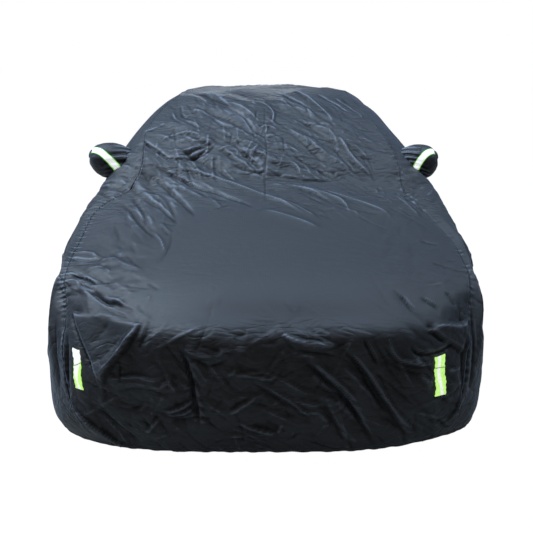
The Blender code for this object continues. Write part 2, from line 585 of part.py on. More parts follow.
def grid_tree(grid):
    """Search tree over the triangles that a sheet's outer side has."""
    rows, columns = grid.shape[:2]
    faces = []
    for r in range(rows - 1):
        for c in range(columns - 1):
            a, b = r * columns + c, (r + 1) * columns + c
            faces.append((a, a + 1, b + 1))
            faces.append((a, b + 1, b))
    return BVHTree.FromPolygons([Vector(p) for p in grid.reshape(-1, 3)], faces)


def panel_solid(name, grid, normals):
    inner = grid - normals * SHEET
    return sheet_solid(name, grid, inner, CLOTH_COLOUR, CLOTH_ROUGHNESS)


def pocket_ring(side, share, half_height, half_width, back, spread):
    """One ring round a pocket; the stripe's columns come first and keep the stripe's width."""
    base, axis, tip = (np.array(v) for v in POCKETS[side])
    way = unit(tip - base)
    axis = unit(unit(axis) * (1 - share) + way * share)
    up = unit(np.array((0.0, 0.0, 1.0)) - axis[2] * axis)
    front = np.cross(up, axis) * side
    if front[1] > 0:
        front = -front
    middle = base + (tip - base) * share - axis * back
    centre_turn = math.radians(STRIPE_TURN[0] + (STRIPE_TURN[1] - STRIPE_TURN[0]) * share)
    half_turn = STRIPE_WIDTH / (half_height + half_width)
    turns = [centre_turn - half_turn, centre_turn]
    for turn in np.linspace(half_turn, 2 * math.pi - half_turn, POCKET_SIDES - 1)[:-1]:
        turns.append(centre_turn + turn)
    ring = []
    for turn in turns:
        ring.append(middle + up * (half_height - spread) * math.cos(turn)
                    + front * (half_width - spread) * math.sin(turn))
    return np.array(ring), unit(axis)


def pocket_rows(side, panel, back, spread):
    """Rings of a pocket from its seam allowance to the tip, the first ones settled on the panel."""
    first, axis = pocket_ring(side, 0.0, POCKET_RINGS[0][1], POCKET_RINGS[0][2], 0.0, spread)
    drops = []
    for point in first:
        start = Vector(point + axis * POCKET_REACH)
        hit = panel.ray_cast(start, Vector(-axis))[0]
        drops.append(float((np.array(hit) - point) @ axis))
    drops = np.array(drops)[:, None]
    rows = [first + axis * (drops - POCKET_COLLAR)]
    for share, half_height, half_width in POCKET_RINGS:
        pull = back * float(smooth_step(share / POCKET_SETTLE))
        ring = pocket_ring(side, share, half_height, half_width, pull, spread)[0]
        settle = 1 - float(smooth_step(share / POCKET_SETTLE))
        rows.append(ring + axis * drops * settle)
    return np.array(rows)


def pocket_tip(side, back):
    base, axis, tip = (np.array(v) for v in POCKETS[side])
    return tip + unit(tip - base) * (POCKET_END - back)


def ring_faces(rows, columns, offset, turned):
    """Triangles between rings of points that close on themselves."""
    faces = []
    for r in range(rows - 1):
        for c in range(columns):
            d = (c + 1) % columns
            a, b = offset + r * columns + c, offset + r * columns + d
            e, f = a + columns, b + columns
            faces.append((a, b, f))
            faces.append((a, f, e))
    if turned:
        faces = [face[::-1] for face in faces]
    return faces


def pocket_solid(name, side, panel):
    """A thin cap, open at its base, that passes through the hole in its side panel."""
    outer = pocket_rows(side, panel, 0.0, 0.0)
    inner = pocket_rows(side, panel, SHEET, SHEET)
    rows, columns = outer.shape[:2]
    count = rows * columns
    tips = np.array((pocket_tip(side, 0.0), pocket_tip(side, SHEET)))
    vertices = placed(outer) + placed(inner) + placed(tips)
    faces = ring_faces(rows, columns, 0, False) + ring_faces(rows, columns, count, True)
    last = (rows - 1) * columns
    for c in range(columns):
        d = (c + 1) % columns
        faces.append((last + c, last + d, 2 * count))
        faces.append((count + last + d, count + last + c, 2 * count + 1))
        faces.append((d, c, count + c))
        faces.append((d, count + c, count + d))
    return make_object(name, vertices, faces, CLOTH_COLOUR, CLOTH_ROUGHNESS), outer


def cut_pocket_hole(panel_object, name, rows, side):
    """Opens the side panel where the pocket passes through it, a seam's gap wider."""
    axis = unit(np.array(POCKETS[side][1]))
    middle = rows.mean(axis=1, keepdims=True)
    away = rows - middle
    away = away - (away @ axis)[..., None] * axis
    wide = rows + unit(away) * SEAM_GAP
    rings = np.array((wide[0] - axis * POCKET_COLLAR, wide[1], wide[2], wide[3]))
    count, columns = rings.shape[:2]
    vertices = placed(rings)
    faces = ring_faces(count, columns, 0, False)
    faces.append(tuple(reversed(range(columns))))
    faces.append(tuple((count - 1) * columns + c for c in range(columns)))
    cutter = make_object(name, vertices, faces, CLOTH_COLOUR, CLOTH_ROUGHNESS)
    cutter.hide_render = True
    cutter.display_type = "WIRE"
    hole = panel_object.modifiers.new("mirror_hole", "BOOLEAN")
    hole.operation = "DIFFERENCE"
    hole.solver = "EXACT"
    hole.object = cutter


def stripe_solid(name, rows):
    """Reflective stripe along a pocket, on the pocket's own lines."""
    first, last = STRIPE_RINGS
    around = np.roll(rows, -1, axis=1) - np.roll(rows, 1, axis=1)
    along = np.gradient(rows, axis=0)
    normals = unit(np.cross(around, along))
    middle = rows.mean(axis=1, keepdims=True)
    if float((normals * (rows - middle)).sum()) < 0:
        normals = -normals
    covered = rows[first + 1:last + 2, 0:3]
    lift = normals[first + 1:last + 2, 0:3]
    inner = covered + lift * TAPE_GAP
    outer = covered + lift * (TAPE_GAP + TAPE)
    return sheet_solid(name, outer, inner, STRIPE_COLOUR, TAPE_ROUGHNESS)


def strip_solid(name, side, centre):
    """Reflective strip on the front face, laid on the cloth of the centre panel."""
    (x_top, z_top), (x_low, z_low), width = FRONT_STRIPS[side]
    inner = np.empty((STRIP_ROWS + 1, STRIP_COLUMNS + 1, 3))
    lift = np.empty_like(inner)
    for r in range(STRIP_ROWS + 1):
        for c in range(STRIP_COLUMNS + 1):
            share, across = r / STRIP_ROWS, c / STRIP_COLUMNS - 0.5
            x = x_top + (x_low - x_top) * share + across * width
            z = z_top + (z_low - z_top) * share
            hit, normal = centre.ray_cast(Vector((x, -LENGTH, z)), Vector((0.0, 1.0, 0.0)))[:2]
            if normal.y > 0:
                normal = -normal
            inner[r, c] = np.array(hit)
            lift[r, c] = np.array(normal)
    lift = unit(lift.mean(axis=(0, 1)))
    return sheet_solid(name, inner + lift * (STRIP_LIFT + TAPE), inner + lift * STRIP_LIFT,
                       STRIP_COLOUR, TAPE_ROUGHNESS)


# ---- build
def main():
    """Removes what the scene holds and makes the nine pieces."""
    for old in list(bpy.data.objects):
        bpy.data.objects.remove(old)
    grids, normals = cloth_grids()
    panel_solid("centre_panel", grids[0], normals[0])
    centre = grid_tree(grids[0])
    for side, word in ((-1, "left"), (1, "right")):
        panel_object = panel_solid("side_panel_" + word, grids[side], normals[side])
        rows = pocket_solid("mirror_pocket_" + word, side, grid_tree(grids[side]))[1]
        cut_pocket_hole(panel_object, "mirror_cutter_" + word, rows, side)
        stripe_solid("mirror_stripe_" + word, rows)
        strip_solid("front_strip_" + word, side, centre)


main()
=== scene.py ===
import math
import random

import bmesh
import bpy
import numpy as np
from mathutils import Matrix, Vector
from mathutils.bvhtree import BVHTree
from mathutils.geometry import delaunay_2d_cdt


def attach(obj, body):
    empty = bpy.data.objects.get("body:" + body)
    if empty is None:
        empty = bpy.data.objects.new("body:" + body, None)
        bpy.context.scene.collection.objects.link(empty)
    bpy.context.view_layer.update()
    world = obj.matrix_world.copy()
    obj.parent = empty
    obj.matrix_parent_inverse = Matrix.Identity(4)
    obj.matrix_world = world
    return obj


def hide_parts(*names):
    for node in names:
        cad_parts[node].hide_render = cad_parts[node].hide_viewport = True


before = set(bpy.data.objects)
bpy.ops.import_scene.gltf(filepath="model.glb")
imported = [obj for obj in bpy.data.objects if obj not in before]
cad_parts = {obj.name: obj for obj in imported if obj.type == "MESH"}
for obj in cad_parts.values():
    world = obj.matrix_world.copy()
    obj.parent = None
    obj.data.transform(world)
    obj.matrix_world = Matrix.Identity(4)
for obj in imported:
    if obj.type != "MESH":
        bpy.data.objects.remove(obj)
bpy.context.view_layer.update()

# Fitted car cover of coated taffeta. Tables are in metres from the ground and from the foremost
# point of the cover; origin moves them to the frame, whose zero is under the cloth at mid roof.
origin = np.array((0.0, 2.45, 1.436))

cover = {
    "clothThickness": 0.002,
    "halfWidth": 0.945,
    "length": 4.62,
    "frontBow": 0.05,
    "frontCorner": (0.35, 0.38),
    "rearCorner": (0.36, 0.34),
    "columns": 30,            # of the plain form, which the finer mesh below divides
    "columnSteps": 7,
    "sideRowSteps": 12,
    "cornerColumns": 9,       # of a side panel, round its front and its rear corner
    "tailColumns": 5,
    "innerStep": 4,           # the inner side has one point in this many
    "tightStart": (0.06, 0.14),
    "tightEnd": (0.85, 1.15),
    "tightSlack": 0.12,
    "seed": 11,
}

# Stations, front hem to rear hem: name, rows from the last one, steps in each row of the finer mesh,
# crown, middle (y, z), left seam (x, y, z), right seam (x, y, z)
stations = (
    ("frontHem",    0, 8, 3.6, (0.100, 0.165), (-0.600, 0.130, 0.168), (0.640, 0.135, 0.196)),
    ("frontLow",    2, 7, 3.8, (0.025, 0.240), (-0.700, 0.105, 0.262), (0.725, 0.115, 0.290)),
    ("bumper",      3, 8, 3.8, (0.000, 0.400), (-0.775, 0.150, 0.410), (0.775, 0.150, 0.420)),
    ("grille",      3, 8, 3.6, (0.015, 0.590), (-0.805, 0.225, 0.560), (0.800, 0.225, 0.560)),
    ("bonnetLip",   2, 8, 3.2, (0.042, 0.700), (-0.825, 0.335, 0.670), (0.828, 0.335, 0.662)),
    ("bonnetEdge",  2, 8, 2.8, (0.142, 0.752), (-0.860, 0.455, 0.752), (0.864, 0.450, 0.747)),
    ("bonnetFront", 3, 7, 2.4, (0.270, 0.806), (-0.868, 0.520, 0.782), (0.874, 0.520, 0.775)),
    ("bonnetMid",   6, 7, 2.4, (0.640, 0.893), (-0.880, 0.800, 0.832), (0.872, 0.780, 0.835)),
    ("bonnetRear",  6, 7, 2.4, (1.020, 0.972), (-0.860, 1.090, 0.920), (0.790, 1.040, 0.925)),
    ("cowl",        4, 6, 2.2, (1.270, 1.030), (-0.715, 1.260, 1.000), (0.725, 1.230, 0.985)),
    ("screenLow",   4, 5, 2.2, (1.420, 1.125), (-0.680, 1.400, 1.100), (0.725, 1.380, 1.080)),
    ("screenMid",   4, 8, 2.2, (1.680, 1.265), (-0.700, 1.640, 1.235), (0.680, 1.620, 1.215)),
    ("header",      5, 8, 3.0, (2.000, 1.385), (-0.628, 2.000, 1.358), (0.590, 2.000, 1.350)),
    ("roofFront",   3, 7, 3.2, (2.250, 1.418), (-0.590, 2.260, 1.400), (0.540, 2.260, 1.398)),
    ("roofMid",     2, 7, 3.0, (2.700, 1.430), (-0.585, 2.700, 1.400), (0.570, 2.700, 1.398)),
    ("roofRear",    3, 5, 2.8, (3.200, 1.385), (-0.590, 3.180, 1.345), (0.590, 3.180, 1.345)),
    ("rearScreen",  2, 6, 2.4, (3.600, 1.215), (-0.650, 3.560, 1.180), (0.650, 3.560, 1.180)),
    ("bootFront",   2, 4, 2.2, (3.850, 1.100), (-0.740, 3.800, 1.060), (0.740, 3.800, 1.060)),
    ("bootRear",    3, 5, 2.4, (4.320, 1.045), (-0.800, 4.150, 1.005), (0.800, 4.150, 1.005)),
    ("bootEdge",    2, 3, 2.6, (4.440, 0.990), (-0.790, 4.260, 0.955), (0.790, 4.260, 0.955)),
    ("tailHigh",    2, 3, 2.8, (4.510, 0.880), (-0.765, 4.350, 0.850), (0.765, 4.350, 0.850)),
    ("tailMid",     2, 3, 3.0, (4.570, 0.660), (-0.720, 4.440, 0.640), (0.720, 4.440, 0.640)),
    ("rearBumper",  3, 3, 3.0, (4.620, 0.450), (-0.680, 4.510, 0.450), (0.680, 4.510, 0.450)),
    ("rearLow",     3, 3, 3.0, (4.590, 0.260), (-0.640, 4.510, 0.270), (0.640, 4.510, 0.270)),
    ("rearHem",     2, 3, 3.0, (4.500, 0.170), (-0.600, 4.450, 0.175), (0.600, 4.450, 0.175)),
)

# Levels of the side panels: inset at the front and further back, height at each of levelPlaces
levels = (
    (0.040, 0.012, 0.735, 0.835, 0.965, 1.010, 0.950),
    (0.040, 0.000, 0.625, 0.670, 0.720, 0.740, 0.720),
    (0.020, 0.004, 0.430, 0.440, 0.450, 0.450, 0.440),
    (0.016, 0.016, 0.250, 0.262, 0.265, 0.265, 0.270),
    (0.016, 0.062, 0.156, 0.162, 0.165, 0.167, 0.172),
)
levelPlaces = (0.40, 0.75, 1.55, 3.10, 4.30)

# Main folds: height and half width in m (a trough is below zero), points along it in m.
# From above the points are (x, y), from the front (x, z) and from the side (y, z).
foldsAbove = (
    (-0.014, 0.034, ((-0.68, 1.39), (-0.44, 1.28), (-0.13, 1.04), (-0.04, 0.93))),
    (0.009, 0.036, ((-0.58, 1.41), (-0.36, 1.34), (-0.14, 1.21), (0.25, 0.85))),
    (-0.012, 0.030, ((-0.69, 1.31), (-0.57, 1.27), (-0.44, 1.07), (-0.33, 0.86))),
    (-0.010, 0.030, ((-0.70, 1.25), (-0.62, 1.20), (-0.52, 1.03), (-0.41, 0.78))),
    (-0.012, 0.032, ((-0.74, 1.12), (-0.64, 0.93), (-0.50, 0.68))),
    (-0.020, 0.034, ((-0.72, 1.58), (-0.54, 1.44), (-0.44, 1.43), (-0.28, 1.53))),
    (0.012, 0.036, ((-0.66, 1.66), (-0.52, 1.56), (-0.38, 1.60))),
    (-0.011, 0.032, ((-0.36, 1.80), (-0.24, 1.67), (-0.14, 1.64))),
    (-0.013, 0.032, ((-0.30, 1.95), (-0.16, 1.80), (-0.04, 1.62), (0.08, 1.59))),
    (-0.014, 0.030, ((-0.20, 1.55), (-0.10, 1.43), (-0.02, 1.33))),
    (-0.009, 0.030, ((-0.34, 1.38), (-0.24, 1.34), (-0.17, 1.27))),
    (-0.014, 0.034, ((-0.14, 1.31), (0.18, 1.27), (0.48, 1.33))),
    (0.010, 0.034, ((0.12, 2.24), (0.21, 2.07), (0.35, 1.84), (0.40, 1.66))),
    (-0.010, 0.032, ((0.16, 1.75), (0.30, 1.66), (0.46, 1.55))),
    (0.011, 0.034, ((0.40, 1.60), (0.47, 1.45), (0.60, 1.30))),
    (-0.010, 0.032, ((0.12, 1.46), (0.24, 1.38), (0.40, 1.29))),
    (0.007, 0.034, ((-0.06, 0.96), (0.11, 0.85), (0.27, 0.74))),
    (0.008, 0.034, ((-0.03, 1.24), (0.18, 1.18), (0.37, 1.05), (0.44, 0.88))),
    (0.007, 0.034, ((0.28, 1.17), (0.42, 1.07), (0.66, 0.92))),
    (-0.008, 0.026, ((-0.88, 0.64), (-0.80, 0.60), (-0.70, 0.58))),
    (-0.015, 0.030, ((-0.85, 0.53), (-0.74, 0.43), (-0.60, 0.36))),
    (-0.013, 0.028, ((-0.73, 0.38), (-0.64, 0.28), (-0.50, 0.18))),
    (-0.008, 0.026, ((0.50, 0.32), (0.57, 0.21), (0.62, 0.15))),
    (-0.009, 0.045, ((-0.50, 2.55), (-0.10, 2.95), (0.25, 3.20))),
    (0.008, 0.045, ((0.48, 2.50), (0.10, 2.85), (-0.30, 3.25))),
    (-0.012, 0.045, ((-0.55, 3.45), (-0.10, 3.75), (0.45, 3.80))),
    (0.008, 0.045, ((0.60, 3.90), (0.20, 4.10), (-0.35, 4.30))),
)
foldsFront = (
    (0.018, 0.032, ((-0.48, 0.73), (-0.57, 0.61), (-0.66, 0.48))),
    (-0.014, 0.032, ((-0.55, 0.71), (-0.62, 0.62), (-0.68, 0.53))),
    (-0.010, 0.032, ((-0.60, 0.72), (-0.71, 0.58))),
    (-0.016, 0.032, ((-0.33, 0.70), (-0.28, 0.54), (-0.26, 0.32))),
    (0.012, 0.032, ((-0.31, 0.67), (-0.20, 0.64), (-0.06, 0.66))),
    (0.011, 0.032, ((0.05, 0.71), (0.13, 0.68), (0.27, 0.67))),
    (0.010, 0.032, ((-0.63, 0.49), (-0.48, 0.52), (-0.33, 0.50))),
    (0.012, 0.032, ((-0.40, 0.39), (-0.26, 0.46))),
    (0.015, 0.032, ((-0.76, 0.38), (-0.61, 0.26), (-0.50, 0.20))),
    (-0.012, 0.032, ((-0.69, 0.42), (-0.56, 0.29), (-0.47, 0.20))),
    (0.010, 0.032, ((-0.15, 0.40), (-0.03, 0.48))),
    (0.010, 0.032, ((-0.12, 0.38), (0.05, 0.31))),
    (-0.010, 0.032, ((-0.04, 0.55), (0.12, 0.42), (0.22, 0.37))),
    (-0.018, 0.038, ((0.10, 0.66), (0.29, 0.46), (0.41, 0.24))),
    (-0.016, 0.036, ((0.26, 0.68), (0.35, 0.57), (0.47, 0.36), (0.56, 0.24))),
    (-0.012, 0.034, ((0.17, 0.50), (0.30, 0.27))),
    (-0.012, 0.034, ((0.38, 0.70), (0.48, 0.58), (0.64, 0.52))),
    (0.013, 0.032, ((0.60, 0.68), (0.79, 0.63), (0.80, 0.54))),
)
foldsSide = (
    (-0.014, 0.060, ((1.52, 0.98), (1.10, 0.72), (0.72, 0.34))),
    (-0.014, 0.060, ((1.66, 0.98), (1.72, 0.66), (1.64, 0.26))),
    (-0.012, 0.065, ((1.70, 1.02), (2.20, 0.76), (2.60, 0.36))),
    (0.012, 0.070, ((2.05, 1.22), (2.12, 0.80), (2.02, 0.30))),
    (-0.014, 0.065, ((3.30, 1.22), (3.12, 0.78), (3.18, 0.30))),
    (0.012, 0.065, ((3.66, 1.10), (3.80, 0.70), (3.70, 0.30))),
    (-0.012, 0.055, ((4.22, 0.90), (4.30, 0.60), (4.26, 0.28))),
)
sideShare = {-1: 1.0, 1: 0.8}
facingAbove = (0.20, 0.70)
facingFront = (0.15, 0.65)
facingSide = (0.30, 0.80)

# Creases on top of the folds, as the cloth shows them: height and half width in mm, lean (which
# flank is the steeper one), points in m
creasesAbove = (
    # drawn from the left mirror across the bonnet
    (-5.0, 11, 0.5, ((-0.70, 1.40), (-0.58, 1.36), (-0.44, 1.28), (-0.28, 1.15), (-0.13, 1.04),
                     (-0.05, 0.94))),
    (3.2, 13, -0.4, ((-0.60, 1.41), (-0.36, 1.33), (-0.14, 1.21), (0.02, 1.08), (0.25, 0.82))),
    (-3.6, 11, 0.4, ((-0.70, 1.34), (-0.57, 1.28), (-0.48, 1.15), (-0.40, 1.00), (-0.33, 0.86))),
    (2.6, 10, 0.3, ((-0.66, 1.36), (-0.52, 1.29), (-0.40, 1.16), (-0.26, 1.02))),
    (-3.6, 10, -0.4, ((-0.71, 1.29), (-0.62, 1.23), (-0.52, 1.09), (-0.41, 0.80))),
    (3.0, 11, 0.3, ((-0.70, 1.24), (-0.60, 1.14), (-0.50, 0.98), (-0.44, 0.84))),
    (-4.6, 10, 0.5, ((-0.68, 1.20), (-0.56, 1.05), (-0.47, 0.91), (-0.41, 0.80))),
    (-4.6, 11, -0.5, ((-0.73, 1.20), (-0.64, 1.04), (-0.57, 0.84))),
    (2.4, 9, 0.0, ((-0.70, 1.00), (-0.61, 0.84), (-0.53, 0.71))),
    (-2.4, 9, 0.0, ((-0.66, 1.00), (-0.58, 0.86), (-0.50, 0.72))),
    (2.4, 9, 0.0, ((-0.57, 0.83), (-0.48, 0.68), (-0.44, 0.55))),
    (-2.0, 9, 0.0, ((-0.50, 0.82), (-0.44, 0.70))),
    (-1.6, 12, 0.0, ((-0.44, 0.78), (-0.43, 0.62), (-0.45, 0.46))),
    (-1.6, 9, 0.0, ((-0.48, 0.34), (-0.42, 0.28))),
    # foot of the left pillar
    (-9.0, 12, 0.6, ((-0.73, 1.60), (-0.66, 1.53), (-0.61, 1.49), (-0.54, 1.43), (-0.47, 1.42))),
    (-6.0, 11, 0.4, ((-0.50, 1.42), (-0.42, 1.45), (-0.34, 1.47), (-0.28, 1.53))),
    (4.0, 10, -0.4, ((-0.58, 1.49), (-0.46, 1.49), (-0.36, 1.52))),
    (-4.0, 9, 0.4, ((-0.52, 1.44), (-0.40, 1.49), (-0.29, 1.54))),
    (4.5, 11, 0.5, ((-0.74, 1.62), (-0.66, 1.68), (-0.59, 1.74))),
    (-3.4, 9, 0.4, ((-0.73, 1.66), (-0.64, 1.70), (-0.57, 1.72))),
    (-3.0, 9, 0.0, ((-0.54, 1.97), (-0.50, 1.81), (-0.39, 1.70))),
    (2.6, 9, 0.0, ((-0.58, 1.90), (-0.54, 1.78), (-0.44, 1.66))),
    (2.6, 9, 0.0, ((-0.48, 1.58), (-0.38, 1.55), (-0.28, 1.56))),
    (3.6, 9, 0.4, ((-0.62, 1.55), (-0.56, 1.60), (-0.46, 1.62), (-0.36, 1.58))),
    (-3.0, 8, 0.0, ((-0.46, 1.41), (-0.41, 1.35), (-0.38, 1.28))),
    (2.6, 8, 0.0, ((-0.42, 1.42), (-0.37, 1.34), (-0.34, 1.26))),
    # the screen
    (-5.0, 10, 0.5, ((-0.33, 1.77), (-0.24, 1.66), (-0.17, 1.65))),
    (-5.4, 10, -0.5, ((-0.30, 1.94), (-0.16, 1.80), (-0.05, 1.62), (0.06, 1.60))),
    (3.4, 10, 0.4, ((-0.26, 1.98), (-0.12, 1.84), (-0.02, 1.70))),
    (-3.4, 9, 0.0, ((-0.17, 1.61), (-0.08, 1.62), (0.00, 1.64))),
    (-6.0, 10, 0.6, ((-0.20, 1.54), (-0.10, 1.43), (-0.02, 1.34))),
    (3.6, 9, -0.3, ((-0.24, 1.50), (-0.14, 1.40), (-0.06, 1.33))),
    (-4.0, 9, 0.4, ((-0.20, 1.38), (-0.13, 1.35), (-0.05, 1.33), (0.02, 1.34))),
    (3.0, 8, 0.0, ((-0.25, 1.37), (-0.20, 1.31), (-0.16, 1.26))),
    (-3.0, 8, 0.0, ((-0.11, 1.31), (-0.06, 1.33), (0.00, 1.30))),
    (-3.6, 10, 0.4, ((0.05, 1.31), (0.21, 1.28), (0.37, 1.29), (0.46, 1.32))),
    (-4.0, 10, 0.4, ((0.14, 1.45), (0.24, 1.38), (0.38, 1.29))),
    (3.0, 9, 0.0, ((0.10, 1.40), (0.16, 1.38), (0.19, 1.30))),
    (2.6, 9, 0.0, ((0.14, 1.41), (0.21, 1.38), (0.24, 1.31))),
    (2.4, 9, 0.0, ((0.19, 1.41), (0.26, 1.37), (0.29, 1.31))),
    (-4.4, 10, 0.5, ((0.20, 1.73), (0.28, 1.71), (0.37, 1.69))),
    (-4.0, 11, 0.5, ((0.14, 1.66), (0.31, 1.59), (0.45, 1.52))),
    (4.0, 12, -0.4, ((0.12, 2.30), (0.21, 2.07), (0.35, 1.84), (0.39, 1.68))),
    (-3.4, 11, 0.4, ((0.02, 2.30), (0.14, 2.02), (0.27, 1.84), (0.33, 1.72))),
    (3.4, 10, 0.0, ((-0.03, 1.98), (0.04, 1.84), (0.03, 1.70))),
    (-3.6, 10, 0.0, ((0.30, 2.30), (0.44, 2.02), (0.55, 1.80))),
    (2.8, 10, 0.0, ((0.42, 2.20), (0.52, 1.98), (0.60, 1.75))),
    (4.4, 11, 0.4, ((0.41, 1.58), (0.49, 1.41), (0.58, 1.30))),
    (-3.0, 10, 0.0, ((0.36, 1.56), (0.43, 1.40), (0.52, 1.28))),
    (-3.0, 10, 0.0, ((0.47, 1.54), (0.59, 1.50), (0.72, 1.46))),
    (2.6, 10, 0.0, ((0.50, 1.60), (0.60, 1.56), (0.70, 1.54))),
    # the puffed spot above the middle of the screen
    (5.0, 13, 0.0, ((-0.05, 1.67), (0.01, 1.69), (0.07, 1.66))),
    (-4.4, 9, 0.4, ((-0.05, 1.62), (0.00, 1.60), (0.07, 1.61))),
    (3.0, 8, 0.0, ((-0.02, 1.72), (0.00, 1.66), (-0.02, 1.62))),
    # right of the middle, drawn to the right mirror
    (2.6, 11, 0.4, ((-0.04, 1.08), (0.12, 1.00), (0.26, 0.84))),
    (2.4, 11, -0.4, ((-0.04, 0.95), (0.11, 0.86), (0.26, 0.74))),
    (2.8, 11, 0.4, ((-0.03, 1.24), (0.18, 1.19), (0.37, 1.06), (0.41, 0.88))),
    (2.6, 11, 0.4, ((0.26, 1.18), (0.47, 1.05), (0.64, 0.92))),
    (-2.0, 9, 0.0, ((0.10, 1.26), (0.23, 1.17), (0.31, 1.08))),
    (-2.0, 9, 0.0, ((0.12, 1.22), (0.27, 1.09), (0.34, 1.00))),
    (-2.0, 9, 0.0, ((0.17, 1.13), (0.31, 0.97))),
    (1.6, 9, 0.0, ((0.14, 1.24), (0.26, 1.13), (0.34, 1.03))),
    # seam-like line down the middle
    (-1.4, 5, 0.0, ((-0.01, 2.00), (-0.01, 1.64), (0.00, 1.48), (-0.01, 1.31), (0.00, 0.90))),
    # gathers along the left wing
    (-4.0, 9, 0.4, ((-0.88, 0.64), (-0.82, 0.61), (-0.76, 0.57))),
    (3.0, 9, 0.0, ((-0.88, 0.69), (-0.81, 0.67), (-0.73, 0.59))),
    (-8.0, 11, 0.6, ((-0.86, 0.51), (-0.77, 0.45), (-0.69, 0.37))),
    (3.4, 9, 0.0, ((-0.80, 0.48), (-0.72, 0.42), (-0.66, 0.38))),
    (-3.0, 9, 0.0, ((-0.79, 0.43), (-0.70, 0.35))),
    (-7.0, 11, -0.5, ((-0.74, 0.37), (-0.64, 0.27), (-0.59, 0.24))),
    (-4.0, 9, 0.0, ((-0.68, 0.28), (-0.59, 0.21), (-0.51, 0.15))),
    (3.4, 9, 0.0, ((-0.66, 0.31), (-0.57, 0.25), (-0.49, 0.18))),
    (-2.6, 9, 0.0, ((-0.58, 0.27), (-0.50, 0.18))),
    # right wing and right corner of the bonnet
    (-2.6, 9, 0.0, ((0.70, 0.73), (0.80, 0.72))),
    (-2.6, 9, 0.0, ((0.72, 0.55), (0.79, 0.53))),
    (-3.6, 9, 0.4, ((0.53, 0.28), (0.57, 0.20))),
    (-3.6, 9, 0.4, ((0.61, 0.29), (0.69, 0.24))),
    (-3.4, 9, 0.0, ((0.73, 0.36), (0.77, 0.30))),
    (-4.0, 10, 0.0, ((0.71, 1.17), (0.76, 1.08), (0.81, 1.00))),
    (3.0, 10, 0.0, ((0.66, 1.18), (0.72, 1.06), (0.77, 0.96))),
)
